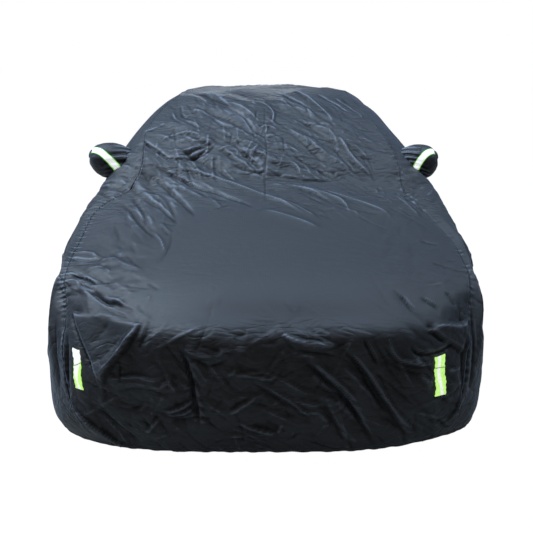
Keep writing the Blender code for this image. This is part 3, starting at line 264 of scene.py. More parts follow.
creasesFront = (
    # the flap at the left corner
    (9.0, 12, 0.6, ((-0.46, 0.74), (-0.50, 0.69), (-0.56, 0.61), (-0.65, 0.50))),
    (-6.0, 11, 0.5, ((-0.53, 0.70), (-0.58, 0.64), (-0.65, 0.55))),
    (-4.0, 9, 0.0, ((-0.60, 0.72), (-0.65, 0.66), (-0.70, 0.60))),
    (3.4, 9, 0.0, ((-0.66, 0.63), (-0.59, 0.66), (-0.52, 0.68))),
    (-5.0, 10, 0.4, ((-0.80, 0.69), (-0.74, 0.63), (-0.65, 0.52))),
    # the face
    (-7.0, 12, 0.6, ((-0.34, 0.69), (-0.29, 0.58), (-0.27, 0.46), (-0.25, 0.33))),
    (5.4, 11, 0.5, ((-0.31, 0.66), (-0.24, 0.64), (-0.19, 0.64))),
    (5.4, 11, -0.5, ((-0.19, 0.64), (-0.14, 0.66), (-0.06, 0.66))),
    (-4.0, 9, 0.0, ((-0.30, 0.63), (-0.20, 0.60), (-0.13, 0.63))),
    (5.0, 11, 0.5, ((0.04, 0.72), (0.12, 0.69), (0.20, 0.68), (0.28, 0.67))),
    (-3.6, 10, 0.0, ((0.10, 0.66), (0.18, 0.65), (0.27, 0.63))),
    (4.0, 10, 0.4, ((-0.62, 0.51), (-0.49, 0.54), (-0.37, 0.53))),
    (4.4, 9, 0.0, ((-0.40, 0.51), (-0.36, 0.53), (-0.33, 0.49))),
    (-3.6, 10, 0.0, ((-0.58, 0.47), (-0.46, 0.50), (-0.34, 0.47))),
    (6.0, 11, 0.5, ((-0.39, 0.40), (-0.33, 0.43), (-0.26, 0.46))),
    (5.0, 10, -0.4, ((-0.26, 0.43), (-0.32, 0.40), (-0.39, 0.39))),
    (-4.0, 10, 0.0, ((-0.36, 0.36), (-0.26, 0.38), (-0.20, 0.38))),
    (6.4, 12, 0.5, ((-0.78, 0.38), (-0.68, 0.32), (-0.60, 0.26), (-0.51, 0.18))),
    (-5.0, 11, 0.0, ((-0.67, 0.41), (-0.58, 0.33), (-0.48, 0.22))),
    (3.4, 9, 0.0, ((-0.47, 0.30), (-0.40, 0.38))),
    (4.0, 10, 0.4, ((-0.15, 0.40), (-0.09, 0.45), (-0.03, 0.48))),
    (4.4, 10, 0.4, ((-0.12, 0.37), (-0.02, 0.34), (0.05, 0.32))),
    (3.0, 9, 0.0, ((0.04, 0.32), (0.06, 0.37))),
    (4.0, 10, 0.4, ((-0.14, 0.57), (-0.04, 0.56), (0.04, 0.55))),
    (-4.4, 10, 0.5, ((-0.07, 0.55), (0.01, 0.49), (0.10, 0.42))),
    (4.0, 10, 0.5, ((-0.02, 0.53), (0.09, 0.46), (0.20, 0.37))),
    (4.0, 9, 0.0, ((0.10, 0.42), (0.21, 0.42))),
    (-7.0, 14, 0.5, ((0.12, 0.63), (0.22, 0.54), (0.29, 0.46), (0.42, 0.25))),
    (4.6, 13, 0.0, ((0.16, 0.62), (0.28, 0.52), (0.36, 0.42))),
    (-7.0, 14, 0.5, ((0.27, 0.67), (0.35, 0.58), (0.51, 0.35))),
    (-5.0, 12, 0.0, ((0.29, 0.47), (0.37, 0.34))),
    (-6.0, 13, 0.4, ((0.34, 0.57), (0.44, 0.43), (0.57, 0.24))),
    (4.6, 12, 0.0, ((0.38, 0.55), (0.48, 0.41), (0.60, 0.26))),
    (-5.0, 12, 0.0, ((0.20, 0.48), (0.30, 0.27))),
    (-4.4, 11, 0.0, ((0.35, 0.70), (0.42, 0.58))),
    (-5.0, 12, 0.4, ((0.42, 0.68), (0.50, 0.59), (0.63, 0.55))),
    (6.0, 12, 0.5, ((0.63, 0.69), (0.73, 0.66), (0.80, 0.62))),
    (4.6, 11, 0.0, ((0.80, 0.63), (0.81, 0.55))),
    (-4.6, 11, 0.0, ((0.61, 0.70), (0.69, 0.62))),
    (-5.0, 11, 0.4, ((0.53, 0.67), (0.56, 0.62), (0.63, 0.60), (0.70, 0.60), (0.75, 0.63))),
    (4.0, 10, 0.0, ((0.49, 0.61), (0.56, 0.58), (0.64, 0.56))),
    (3.4, 9, 0.0, ((0.57, 0.53), (0.64, 0.49))),
    (3.4, 9, 0.0, ((0.69, 0.52), (0.77, 0.51))),
    (5.0, 11, 0.0, ((0.70, 0.28), (0.76, 0.36), (0.77, 0.42))),
    (-4.0, 10, 0.0, ((0.66, 0.34), (0.74, 0.24))),
    # upright folds at the two corners
    (-5.0, 10, 0.0, ((0.79, 0.74), (0.78, 0.58), (0.77, 0.38))),
    (4.0, 10, 0.0, ((0.82, 0.72), (0.81, 0.56), (0.79, 0.36))),
    (-5.0, 10, 0.0, ((0.85, 0.70), (0.84, 0.55), (0.82, 0.36))),
    (-5.0, 10, 0.0, ((-0.80, 0.64), (-0.78, 0.50), (-0.77, 0.36))),
    (5.0, 10, 0.0, ((-0.83, 0.64), (-0.80, 0.52), (-0.79, 0.38))),
    (-4.0, 10, 0.0, ((-0.87, 0.66), (-0.85, 0.50), (-0.83, 0.36))),
)

creaseScale = (2.35, 0.66)     # of the heights and half widths above
# A main fold is a soft swell with a crisp crest on it: share of its height in each, width of the
# crest as a share of the fold's, its lean, and how much of the height is left at the ends
foldShape = {"soft": 0.30, "crisp": 0.55, "crispWidth": 0.42, "lean": 0.35, "ends": 0.15}

# Small creases strewn over a patch: view, middle and radius of the patch in m, how many, heading and
# its spread in degrees, length in m, height and half width in mm
patches = (
    ("above", (0.00, 1.43), 0.15, 26, 90, 34, 0.16, 2.2, 7),
    ("above", (-0.45, 1.58), 0.22, 34, -30, 70, 0.17, 3.2, 8),
    ("above", (-0.10, 1.78), 0.24, 34, -42, 50, 0.16, 2.6, 8),
    ("above", (0.30, 1.62), 0.26, 40, -34, 34, 0.20, 2.4, 8),
    ("above", (0.55, 1.55), 0.18, 20, -50, 40, 0.18, 2.2, 8),
    ("above", (0.20, 2.05), 0.30, 24, -60, 30, 0.18, 2.2, 9),
    ("above", (-0.10, 1.70), 0.50, 34, -36, 14, 0.30, 2.6, 7),
    ("above", (0.05, 1.50), 0.50, 26, -24, 14, 0.28, 2.4, 7),
    ("above", (-0.40, 1.35), 0.24, 22, -34, 16, 0.28, 2.6, 7),
    ("above", (0.40, 1.25), 0.30, 22, -36, 12, 0.28, 1.8, 7),
    ("front", (0.10, 0.50), 0.55, 40, -42, 22, 0.24, 3.4, 7),
    ("front", (-0.40, 0.40), 0.35, 30, -30, 60, 0.20, 3.4, 7),
    ("above", (-0.35, 2.10), 0.26, 18, -70, 50, 0.16, 2.0, 9),
    ("above", (0.00, 1.30), 0.45, 30, 5, 16, 0.16, 2.2, 7),
    ("above", (-0.62, 1.25), 0.13, 22, -40, 40, 0.14, 2.6, 8),
    ("above", (-0.60, 0.95), 0.16, 20, -62, 20, 0.18, 1.8, 8),
    ("above", (0.28, 1.10), 0.26, 34, -44, 12, 0.20, 1.5, 7),
    ("above", (0.62, 1.15), 0.16, 16, -60, 30, 0.16, 1.8, 8),
    ("above", (-0.76, 0.52), 0.16, 26, -38, 20, 0.12, 2.6, 7),
    ("above", (-0.60, 0.30), 0.14, 16, -45, 30, 0.12, 1.8, 7),
    ("above", (0.72, 0.50), 0.16, 14, 0, 30, 0.12, 1.4, 7),
    ("above", (0.00, 2.75), 0.50, 34, 10, 60, 0.26, 2.6, 14),
    ("above", (0.00, 3.55), 0.45, 40, -20, 70, 0.26, 3.4, 14),
    ("above", (0.00, 4.10), 0.50, 30, 10, 60, 0.24, 2.4, 13),
    ("front", (-0.10, 0.62), 0.30, 30, -10, 40, 0.13, 2.6, 8),
    ("front", (-0.45, 0.50), 0.24, 34, 5, 60, 0.14, 2.6, 8),
    ("front", (0.00, 0.42), 0.30, 34, 20, 60, 0.15, 2.6, 8),
    ("front", (0.42, 0.45), 0.26, 36, -52, 16, 0.20, 3.0, 9),
    ("front", (-0.50, 0.27), 0.22, 26, -42, 24, 0.15, 2.8, 8),
    ("front", (0.20, 0.27), 0.30, 24, -40, 50, 0.14, 2.6, 8),
    ("front", (0.64, 0.42), 0.16, 20, -20, 50, 0.12, 2.4, 8),
    ("front", (-0.62, 0.62), 0.12, 12, 50, 30, 0.10, 2.0, 8),
    ("back", (-0.40, 0.70), 0.35, 34, -30, 60, 0.26, 4.2, 13),
    ("back", (0.40, 0.70), 0.35, 34, 30, 60, 0.26, 4.2, 13),
    ("back", (0.00, 0.35), 0.55, 40, 90, 40, 0.18, 4.0, 12),
    ("side", (1.10, 0.62), 0.50, 34, 125, 26, 0.34, 4.0, 13),
    ("side", (1.75, 0.75), 0.45, 40, 95, 34, 0.32, 4.2, 13),
    ("side", (2.60, 0.80), 0.55, 46, 70, 40, 0.34, 4.2, 13),
    ("side", (3.40, 0.75), 0.50, 40, 100, 40, 0.32, 4.2, 13),
    ("side", (4.10, 0.65), 0.40, 34, 80, 40, 0.26, 4.2, 13),
    ("side", (0.55, 0.50), 0.25, 26, 90, 30, 0.20, 3.2, 10),
)

# Slow unevenness of slack cloth: height, wave length, direction, phase
waves = (
    (0.0030, 0.52, (0.80, 0.60, 0.30), 0.4),
    (0.0026, 0.37, (-0.65, 0.55, 0.75), 1.9),
    (0.0020, 0.29, (0.35, -0.80, 0.60), 3.1),
    (0.0016, 0.23, (0.90, 0.20, -0.70), 4.6),
)

hem = {
    "gatherRun": 0.13,        # how far up the gathers of the elastic reach
    "gatherHeight": 0.0012,
    "gatherPitch": 0.062,
    "casing": 0.022,          # height of the sewn casing of the elastic
    "casingPuff": 0.0014,
}
seam = {
    "puckerRun": 0.045,
    "puckerHeight": 0.0014,
    "puckerPitch": 0.030,
    "wingPucker": 2.4,        # times as strong along the left wing
}


def unit(vectors):
    return vectors / np.maximum(np.linalg.norm(vectors, axis=-1, keepdims=True), 1e-9)


def smoothStep(t):
    t = np.clip(t, 0.0, 1.0)
    return t * t * (3.0 - 2.0 * t)


def between(value, span):
    return smoothStep((value - span[0]) / (span[1] - span[0]))


def splinePoint(points, k, t):
    # centripetal Catmull-Rom between points[k] and points[k + 1]
    p1, p2 = points[k], points[k + 1]
    p0 = points[k - 1] if k > 0 else 2 * p1 - p2
    p3 = points[k + 2] if k + 2 < len(points) else 2 * p2 - p1
    knots = [0.0]
    for a, b in ((p0, p1), (p1, p2), (p2, p3)):
        knots.append(knots[-1] + max(float(np.linalg.norm(b - a)), 1e-6) ** 0.5)
    t0, t1, t2, t3 = knots
    u = t1 + (t2 - t1) * t
    a1 = (t1 - u) / (t1 - t0) * p0 + (u - t0) / (t1 - t0) * p1
    a2 = (t2 - u) / (t2 - t1) * p1 + (u - t1) / (t2 - t1) * p2
    a3 = (t3 - u) / (t3 - t2) * p2 + (u - t2) / (t3 - t2) * p3
    b1 = (t2 - u) / (t2 - t0) * a1 + (u - t0) / (t2 - t0) * a2
    b2 = (t3 - u) / (t3 - t1) * a2 + (u - t1) / (t3 - t1) * a3
    return (t2 - u) / (t2 - t1) * b1 + (u - t1) / (t2 - t1) * b2


def hermite(t):
    return 2 * t ** 3 - 3 * t ** 2 + 1, t ** 3 - 2 * t ** 2 + t, 3 * t ** 2 - 2 * t ** 3, t ** 3 - t ** 2


def tableCurve(places, values, x):
    # smooth curve through the values at these places
    x = float(np.clip(x, places[0], places[-1]))
    k = max(0, min(len(places) - 2, int(np.searchsorted(places, x)) - 1))
    span = places[k + 1] - places[k]
    slopes = []
    for i in (k, k + 1):
        a, b = max(i - 1, 0), min(i + 1, len(places) - 1)
        slopes.append((values[b] - values[a]) / (places[b] - places[a]))
    h1, h2, h3, h4 = hermite((x - places[k]) / span)
    return h1 * values[k] + h2 * span * slopes[0] + h3 * values[k + 1] + h4 * span * slopes[1]


def stationRow(name):
    row = 0
    for station in stations:
        row += station[1]
        if station[0] == name:
            return row
    raise KeyError(name)


def rowSteps():
    # how many steps of the finer mesh lie in each row of the plain form
    steps = []
    for station in stations[1:]:
        steps += [station[2]] * station[1]
    return steps


def centreGrid(steps, columns):
    # rows along the car by columns across it; steps of 1 give the plain form
    lines = [[np.array((0.0, s[4][0], s[4][1])) for s in stations],
             [np.array(s[5]) for s in stations], [np.array(s[6]) for s in stations]]
    rows, crowns = [], []
    row = 0
    for k in range(len(stations) - 1):
        count = stations[k + 1][1]
        for q in range(count):
            for step in range(steps[row]):
                t = (q + step / steps[row]) / count
                rows.append([splinePoint(line, k, t) for line in lines])
                crowns.append(stations[k][3] * (1 - t) + stations[k + 1][3] * t)
            row += 1
    rows.append([line[-1] for line in lines])
    crowns.append(stations[-1][3])
    rows, crowns = np.array(rows), np.array(crowns)
    across = np.linspace(-1.0, 1.0, columns + 1)
    share = np.abs(across)[None, :] ** crowns[:, None]
    middle = rows[:, 0][:, None, :]
    edge = np.where((across < 0)[None, :, None], rows[:, 1][:, None, :], rows[:, 2][:, None, :])
    grid = middle + (edge - middle) * share[:, :, None]
    grid[:, :, 0] = edge[:, :, 0] * np.abs(across)[None, :]
    return grid


def sideOutline(inset, xFront, xRear):
    # plan of one level, from xFront on the front face round one side to xRear
    half = cover["halfWidth"] - inset
    bow = cover["frontBow"]
    front, rear = inset, cover["length"] - inset
    flatFront = half - cover["frontCorner"][0]
    flatRear = half - cover["rearCorner"][0]
    points = []
    if xFront < flatFront:
        for x in np.linspace(xFront, flatFront, 6)[:-1]:
            points.append((x, front + bow * (x / flatFront) ** 2))
    firstAngle = math.asin(max(0.0, xFront - flatFront) / cover["frontCorner"][0])
    for angle in np.linspace(firstAngle, math.pi / 2, 24):
        x = flatFront + cover["frontCorner"][0] * math.sin(angle)
        points.append((x, front + bow + cover["frontCorner"][1] * (1 - math.cos(angle))))
    rearY = rear - bow
    for y in np.linspace(points[-1][1], rearY - cover["rearCorner"][1], 80)[1:]:
        points.append((half, y))
    lastAngle = math.asin(max(0.0, xRear - flatRear) / cover["rearCorner"][0])
    for angle in np.linspace(math.pi / 2, lastAngle, 24)[1:]:
        x = flatRear + cover["rearCorner"][0] * math.sin(angle)
        points.append((x, rearY - cover["rearCorner"][1] * (1 - math.cos(angle))))
    if xRear < flatRear:
        for x in np.linspace(flatRear, xRear, 6)[1:]:
            points.append((x, rear - bow * (x / flatRear) ** 2))
    return np.array(points)


def runLengths(points):
    return np.concatenate(([0.0], np.cumsum(np.linalg.norm(np.diff(points, axis=0), axis=1))))


def levelLine(side, level, start, end, topY):
    # one level of a side panel, drawn to the seam at both ends
    frontInset, inset, heights = level[0], level[1], level[2:]
    path = sideOutline(inset, abs(start[0]), abs(end[0]))
    narrow = 1 - smoothStep((path[:, 1] - cover["frontCorner"][1]) / 0.6)
    path[:, 0] -= (frontInset - inset) * narrow
    steps = runLengths(path)
    last = len(topY) - 1
    corner, tail = cover["cornerColumns"], cover["tailColumns"]
    cornerEnd = np.interp(topY[corner], path[:, 1], steps)
    tailStart = np.interp(topY[last - tail], path[:, 1], steps)
    runs = np.interp(topY, path[:, 1], steps)
    for i in range(corner + 1):
        runs[i] = cornerEnd * i / corner
    for i in range(tail + 1):
        runs[last - i] = steps[-1] - (steps[-1] - tailStart) * i / tail
    line = np.empty((last + 1, 3))
    line[:, 0] = side * np.interp(runs, steps, path[:, 0])
    line[:, 1] = np.interp(runs, steps, path[:, 1])
    for i in range(last + 1):
        line[i, 2] = tableCurve(levelPlaces, heights, line[i, 1])
    fromStart = smoothStep(runs / 0.35)[:, None]
    fromEnd = smoothStep((steps[-1] - runs) / 0.35)[:, None]
    pullStart = (start - line[0]) * (1 - fromStart)
    pullEnd = (end - line[-1]) * (1 - fromEnd)
    return line + pullStart + pullEnd


def resample(points, shares):
    # points at these shares of the length of a smooth curve
    dense = []
    for k in range(len(points) - 1):
        for t in np.linspace(0.0, 1.0, 9)[:-1]:
            dense.append(splinePoint(points, k, t))
    dense.append(points[-1])
    dense = np.array(dense)
    steps = runLengths(dense)
    at = np.asarray(shares) * steps[-1]
    return np.stack([np.interp(at, steps, dense[:, axis]) for axis in range(3)], axis=1)


def relax(grid):
    # evens out the columns at both ends of a side panel without shrinking them
    last = len(grid) - 1
    place = np.arange(1, last)
    share = np.maximum(1 - place / 6, 1 - (last - place) / 4)
    share = np.clip(share, 0.0, 1.0)[:, None, None]
    for step in range(5):
        for rate in (0.60, -0.56):
            mean = (grid[:-2, 1:-1] + grid[2:, 1:-1] + grid[1:-1, :-2] + grid[1:-1, 2:]) / 4
            low = (grid[:-2, -1] + grid[2:, -1]) / 2
            grid[1:-1, 1:-1] += rate * share * (mean - grid[1:-1, 1:-1])
            grid[1:-1, -1] += rate * share[:, 0] * (low - grid[1:-1, -1])
    return grid


def sideGrid(side, centre):
    # plain form of a side panel, columns along the car by rows from the top seam to the hem
    edge = centre[:, 0] if side < 0 else centre[:, -1]
    frontRow, rearRow = stationRow("bonnetEdge"), stationRow("bootEdge")
    top = edge[frontRow:rearRow + 1]
    front, rear = edge[frontRow::-1], edge[rearRow:]
    lines = []
    frontNames = ("bonnetLip", "grille", "bumper", "frontLow", "frontHem")
    rearNames = ("tailHigh", "tailMid", "rearBumper", "rearLow", "rearHem")
    for level, frontName, rearName in zip(levels, frontNames, rearNames):
        start, end = edge[stationRow(frontName)], edge[stationRow(rearName)]
        lines.append(levelLine(side, level, start, end, top[:, 1]))
    even = np.linspace(0.0, 1.0, len(front))
    frontShares = runLengths(front) / runLengths(front)[-1]
    rearShares = runLengths(rear) / runLengths(rear)[-1]
    last = len(top) - 1
    columns = [front]
    for i in range(1, last):
        drop = lines[0][i] - top[i]
        out = np.array((side * -drop[2], 0.0, abs(drop[0])))
        shoulder = top[i] + 0.22 * drop + 0.065 * out
        points = [top[i], shoulder] + [line[i] for line in lines]
        if i < cover["cornerColumns"]:
            mix = smoothStep(i / cover["cornerColumns"])
            shares = frontShares * (1 - mix) + even * mix
        else:
            mix = smoothStep((last - i) / cover["tailColumns"])
            shares = rearShares * (1 - mix) + even * mix
        columns.append(resample(points, shares))
    columns.append(rear)
    return relax(np.array(columns))


def refine(grid, steps):
    # smooth curve through the rows of a grid, with that many steps between each two
    before = np.concatenate((2 * grid[:1] - grid[1:2], grid[:-1]))
    after = np.concatenate((grid[1:], 2 * grid[-1:] - grid[-2:-1]))
    slope = (after - before) / 2
    rows = []
    for k, count in enumerate(steps):
        for q in range(count):
            h1, h2, h3, h4 = hermite(q / count)
            rows.append(h1 * grid[k] + h2 * slope[k] + h3 * grid[k + 1] + h4 * slope[k + 1])
    rows.append(grid[-1])
    return np.array(rows)


def gridNormals(grid):
    along = np.gradient(grid, axis=0)
    across = np.gradient(grid, axis=1)
    normals = unit(np.cross(along, across))
    core = np.stack((0 * grid[..., 0], np.clip(grid[..., 1], 1.0, 3.62),
                     np.clip(grid[..., 2], 0.5, 0.6)), axis=-1)
    if float((normals * (grid - core)).sum()) < 0:
        normals = -normals
    return normals


def smoothLine(points, pieces=6):
    line = [np.array(p, dtype=float) for p in points]
    if len(line) < 3:
        return np.array(line)
    out = []
    for k in range(len(line) - 1):
        for q in range(pieces):
            out.append(splinePoint(line, k, q / pieces))
    out.append(line[-1])
    return np.array(out)


def addRidge(height, flat, share, line, size, halfWidth, lean=0.0, crisp=False, ends=0.0):
    # Adds one trough or ridge along a line to height, for the points that lie near it. A crisp one
    # has a sharp crest and falls away faster on one side.
    reach = halfWidth * (5.0 if crisp else 3.0)
    low, high = line.min(axis=0) - reach, line.max(axis=0) + reach
    near = np.nonzero((flat[:, 0] > low[0]) & (flat[:, 0] < high[0]) & (flat[:, 1] > low[1])
                      & (flat[:, 1] < high[1]) & (share > 0.01))[0]
    if len(near) == 0:
        return
    p = flat[near]
    best = np.full(len(near), 1e9)
    along = np.zeros(len(near))
    offside = np.zeros(len(near))
    lengths = np.linalg.norm(np.diff(line, axis=0), axis=1)
    total = lengths.sum()
    done = 0.0
    for a, b, length in zip(line[:-1], line[1:], lengths):
        run = (b - a) / max(length, 1e-9)
        t = np.clip((p - a) @ run, 0.0, length)
        away = p - a - t[:, None] * run
        gap = np.linalg.norm(away, axis=1)
        closer = gap < best
        best = np.where(closer, gap, best)
        along = np.where(closer, (done + t) / total, along)
        offside = np.where(closer, away[:, 0] * run[1] - away[:, 1] * run[0], offside)
        done += length
    fade = smoothStep(along / 0.3) * smoothStep((1 - along) / 0.3)
    if crisp:
        width = halfWidth * (1 + lean * np.tanh(offside / 0.004))
        shape = np.exp(-(np.sqrt(best ** 2 + 0.0015 ** 2) - 0.0015) / width)
    else:
        shape = np.exp(-(best / halfWidth) ** 2)
    height[near] += size * share[near] * shape * (ends + (1 - ends) * fade)


# Crumpled stretches, where the slack cloth falls into flat facets with creases between them: view,
# middle and radii in m, heading in degrees, how much longer than wide the facets are, width of a
# facet in m, height in mm
crumples = (
    ("above", (-0.35, 1.62), (0.42, 0.34), -38, 3.6, 0.075, 16.0),
    ("above", (0.30, 1.62), (0.48, 0.34), -42, 4.6, 0.070, 13.0),
    ("above", (0.00, 1.40), (0.62, 0.20), -20, 2.4, 0.055, 9.0),
    ("above", (-0.30, 2.00), (0.42, 0.33), -50, 3.4, 0.085, 17.0),
    ("above", (0.28, 2.00), (0.42, 0.33), -58, 4.0, 0.085, 16.0),
    ("above", (-0.60, 1.18), (0.26, 0.30), -52, 3.4, 0.045, 8.0),
    ("above", (0.25, 1.12), (0.55, 0.22), -42, 5.0, 0.045, 4.5),
    ("above", (-0.66, 0.80), (0.22, 0.40), -60, 4.0, 0.045, 4.5),
    ("above", (-0.68, 0.42), (0.26, 0.30), -42, 2.6, 0.040, 6.0),
    ("above", (0.66, 0.62), (0.24, 0.55), 60, 3.0, 0.040, 2.0),
    ("above", (-0.80, 1.36), (0.20, 0.34), -38, 3.4, 0.045, 9.0),
    ("above", (0.80, 1.30), (0.18, 0.30), 40, 3.0, 0.045, 6.0),
    ("above", (0.00, 2.75), (0.75, 0.55), 30, 2.0, 0.085, 9.9),
    ("above", (0.00, 3.55), (0.80, 0.45), -25, 2.0, 0.080, 12.6),
    ("above", (0.00, 4.15), (0.85, 0.40), 20, 2.0, 0.080, 9.9),
    ("front", (-0.52, 0.44), (0.40, 0.36), -35, 1.6, 0.100, 11.0),
    ("front", (-0.08, 0.48), (0.44, 0.34), -15, 1.6, 0.095, 11.0),
    ("front", (0.42, 0.45), (0.46, 0.36), -52, 2.6, 0.085, 10.0),
    ("front", (0.00, 0.32), (0.90, 0.18), -38, 1.8, 0.080, 4.0),
    ("back", (-0.35, 0.60), (0.65, 0.55), -40, 2.2, 0.085, 14.4),
    ("back", (0.35, 0.60), (0.65, 0.55), 40, 2.2, 0.085, 14.4),
    ("left", (0.55, 0.50), (0.55, 0.50), 80, 3.0, 0.055, 5.5),
    ("left", (1.45, 0.62), (0.65, 0.60), 100, 2.8, 0.075, 8.0),
    ("left", (2.40, 0.70), (0.70, 0.65), 80, 2.6, 0.085, 14.2),
    ("left", (3.35, 0.70), (0.70, 0.60), 105, 2.6, 0.085, 14.2),
    ("left", (4.20, 0.60), (0.60, 0.55), 75, 2.6, 0.075, 14.2),
    ("right", (0.55, 0.50), (0.55, 0.50), 95, 3.0, 0.055, 5.5),
    ("right", (1.45, 0.62), (0.65, 0.60), 80, 2.8, 0.075, 7.0),
    ("right", (2.40, 0.70), (0.70, 0.65), 100, 2.6, 0.085, 14.2),
    ("right", (3.35, 0.70), (0.70, 0.60), 75, 2.6, 0.085, 14.2),
    ("right", (4.20, 0.60), (0.60, 0.55), 105, 2.6, 0.075, 14.2),
)


# Flat facets that the cloth is pulled into at the corners: three corners in m, width of the soft edge
facets = (
    ((-0.800, 0.300, 0.700), (-0.470, 0.110, 0.730), (-0.640, 0.040, 0.522), 0.016),
    ((0.600, 0.130, 0.700), (0.830, 0.300, 0.660), (0.790, 0.190, 0.560), 0.020),
)


def addFacets(height, points, normals):
    # presses the cloth onto the flat facets
    for a, b, c, edge in facets:
        a, b, c = np.array(a), np.array(b), np.array(c)
        facing = unit(np.cross(b - a, c - a))
        if facing[1] > 0:
            facing = -facing
        turned = normals @ facing
        near = np.nonzero((turned > 0.3) & (np.linalg.norm(points - (a + b + c) / 3, axis=1) < 0.30))[0]
        p = points[near]
        inside = np.full(len(near), 1e9)
        for start, end, third in ((a, b, c), (b, c, a), (c, a, b)):
            inward = unit(np.cross(facing, end - start))
            if (third - start) @ inward < 0:
                inward = -inward
            inside = np.minimum(inside, (p - start) @ inward)
        offset = np.clip(((a - p) @ facing) / turned[near], -0.03, 0.03)
        share = smoothStep(inside / edge)
        height[near] = height[near] * (1 - 0.75 * share) + offset * share


def addCrumple(height, flat, share, facts, seed):
    # adds one crumpled stretch, as three sizes of uneven triangles with raised or sunk corners
    middle, radii, heading, stretch, facet, size = facts
    inside = np.abs(flat - np.array(middle)) / np.array(radii)
    near = np.nonzero((inside.max(axis=1) < 1.0) & (share > 0.01))[0]
    if len(near) == 0:
        return
    turn = math.radians(heading)
    along = np.array((math.cos(turn), math.sin(turn)))
    across = np.array((-along[1], along[0]))
    away = flat[near] - np.array(middle)
    fade = 1 - smoothStep((np.linalg.norm(away / np.array(radii), axis=1) - 0.45) / 0.55)
    local = np.stack((away @ along / stretch, away @ across), axis=1)
    for octave in range(3):
        draw = random.Random(seed * 7 + octave)
        step = facet / 1.9 ** octave
        high = size / 1000 * 0.34 ** octave
        low, top = local.min(axis=0) - 2 * step, local.max(axis=0) + 2 * step
        corners, rises = [], []
        rowsOf = int((top[1] - low[1]) / step) + 1
        columnsOf = int((top[0] - low[0]) / step) + 1
        for r in range(rowsOf):
            for c in range(columnsOf):
                corners.append(Vector((low[0] + (c + 0.5 * (r % 2) + draw.uniform(-0.42, 0.42)) * step,
                                       low[1] + (r + draw.uniform(-0.42, 0.42)) * step)))
                rises.append(draw.choice((-1, 1)) * draw.uniform(0.2, 1.0) * high)
        found, _, faces, kept = delaunay_2d_cdt(corners, [], [], 0, 1e-7)[:4]
        spots = np.array(found)
        tops = np.array([rises[k[0]] for k in kept])
        cell = np.floor((local - low) / step).astype(int)
        order = np.lexsort((cell[:, 1], cell[:, 0]))
        rise = np.zeros(len(near))
        first = np.searchsorted(cell[order, 0], range(columnsOf + 3))
        for face in faces:
            a, b, c = spots[face[0]], spots[face[1]], spots[face[2]]
            left = int((min(a[0], b[0], c[0]) - low[0]) / step)
            right = int((max(a[0], b[0], c[0]) - low[0]) / step) + 1
            picks = order[first[max(left, 0)]:first[min(max(right, 0), columnsOf + 2)]]
            if len(picks) == 0:
                continue
            p = local[picks]
            bounds = (p[:, 1] >= min(a[1], b[1], c[1])) & (p[:, 1] <= max(a[1], b[1], c[1]))
            picks, p = picks[bounds], p[bounds]
            area = (b[0] - a[0]) * (c[1] - a[1]) - (c[0] - a[0]) * (b[1] - a[1])
            if abs(area) < 1e-12 or len(picks) == 0:
                continue
            u = ((p[:, 0] - a[0]) * (c[1] - a[1]) - (c[0] - a[0]) * (p[:, 1] - a[1])) / area
            v = ((b[0] - a[0]) * (p[:, 1] - a[1]) - (p[:, 0] - a[0]) * (b[1] - a[1])) / area
            hit = (u >= -1e-9) & (v >= -1e-9) & (u + v <= 1 + 1e-9)
            rise[picks[hit]] = (tops[face[0]] * (1 - u - v) + tops[face[1]] * u + tops[face[2]] * v)[hit]
        height[near] += rise * fade * share[near]


def strewn():
    # the lines of the small creases: view, line, height, half width, lean
    draw = random.Random(cover["seed"])
    made = []
    for view, middle, radius, count, heading, spread, length, size, halfWidth in patches:
        for k in range(count):
            turn = draw.uniform(0, 2 * math.pi)
            out = radius * math.sqrt(draw.random())
            start = np.array((middle[0] + out * math.cos(turn), middle[1] + out * math.sin(turn)))
            angle = math.radians(heading + draw.uniform(-spread, spread))
            bend = draw.uniform(-0.35, 0.35)
            run = length * draw.uniform(0.45, 1.35)
            line = [start]
            for piece in range(4):
                angle += bend / 4 + draw.uniform(-0.12, 0.12)
                line.append(line[-1] + run / 4 * np.array((math.cos(angle), math.sin(angle))))
            high = size * draw.uniform(0.5, 1.7) * (1 if draw.random() < 0.5 else -1)
            wide = halfWidth * draw.uniform(0.7, 1.1)
            made.append((view, np.array(line), high, wide, draw.uniform(-0.6, 0.6)))
    return made


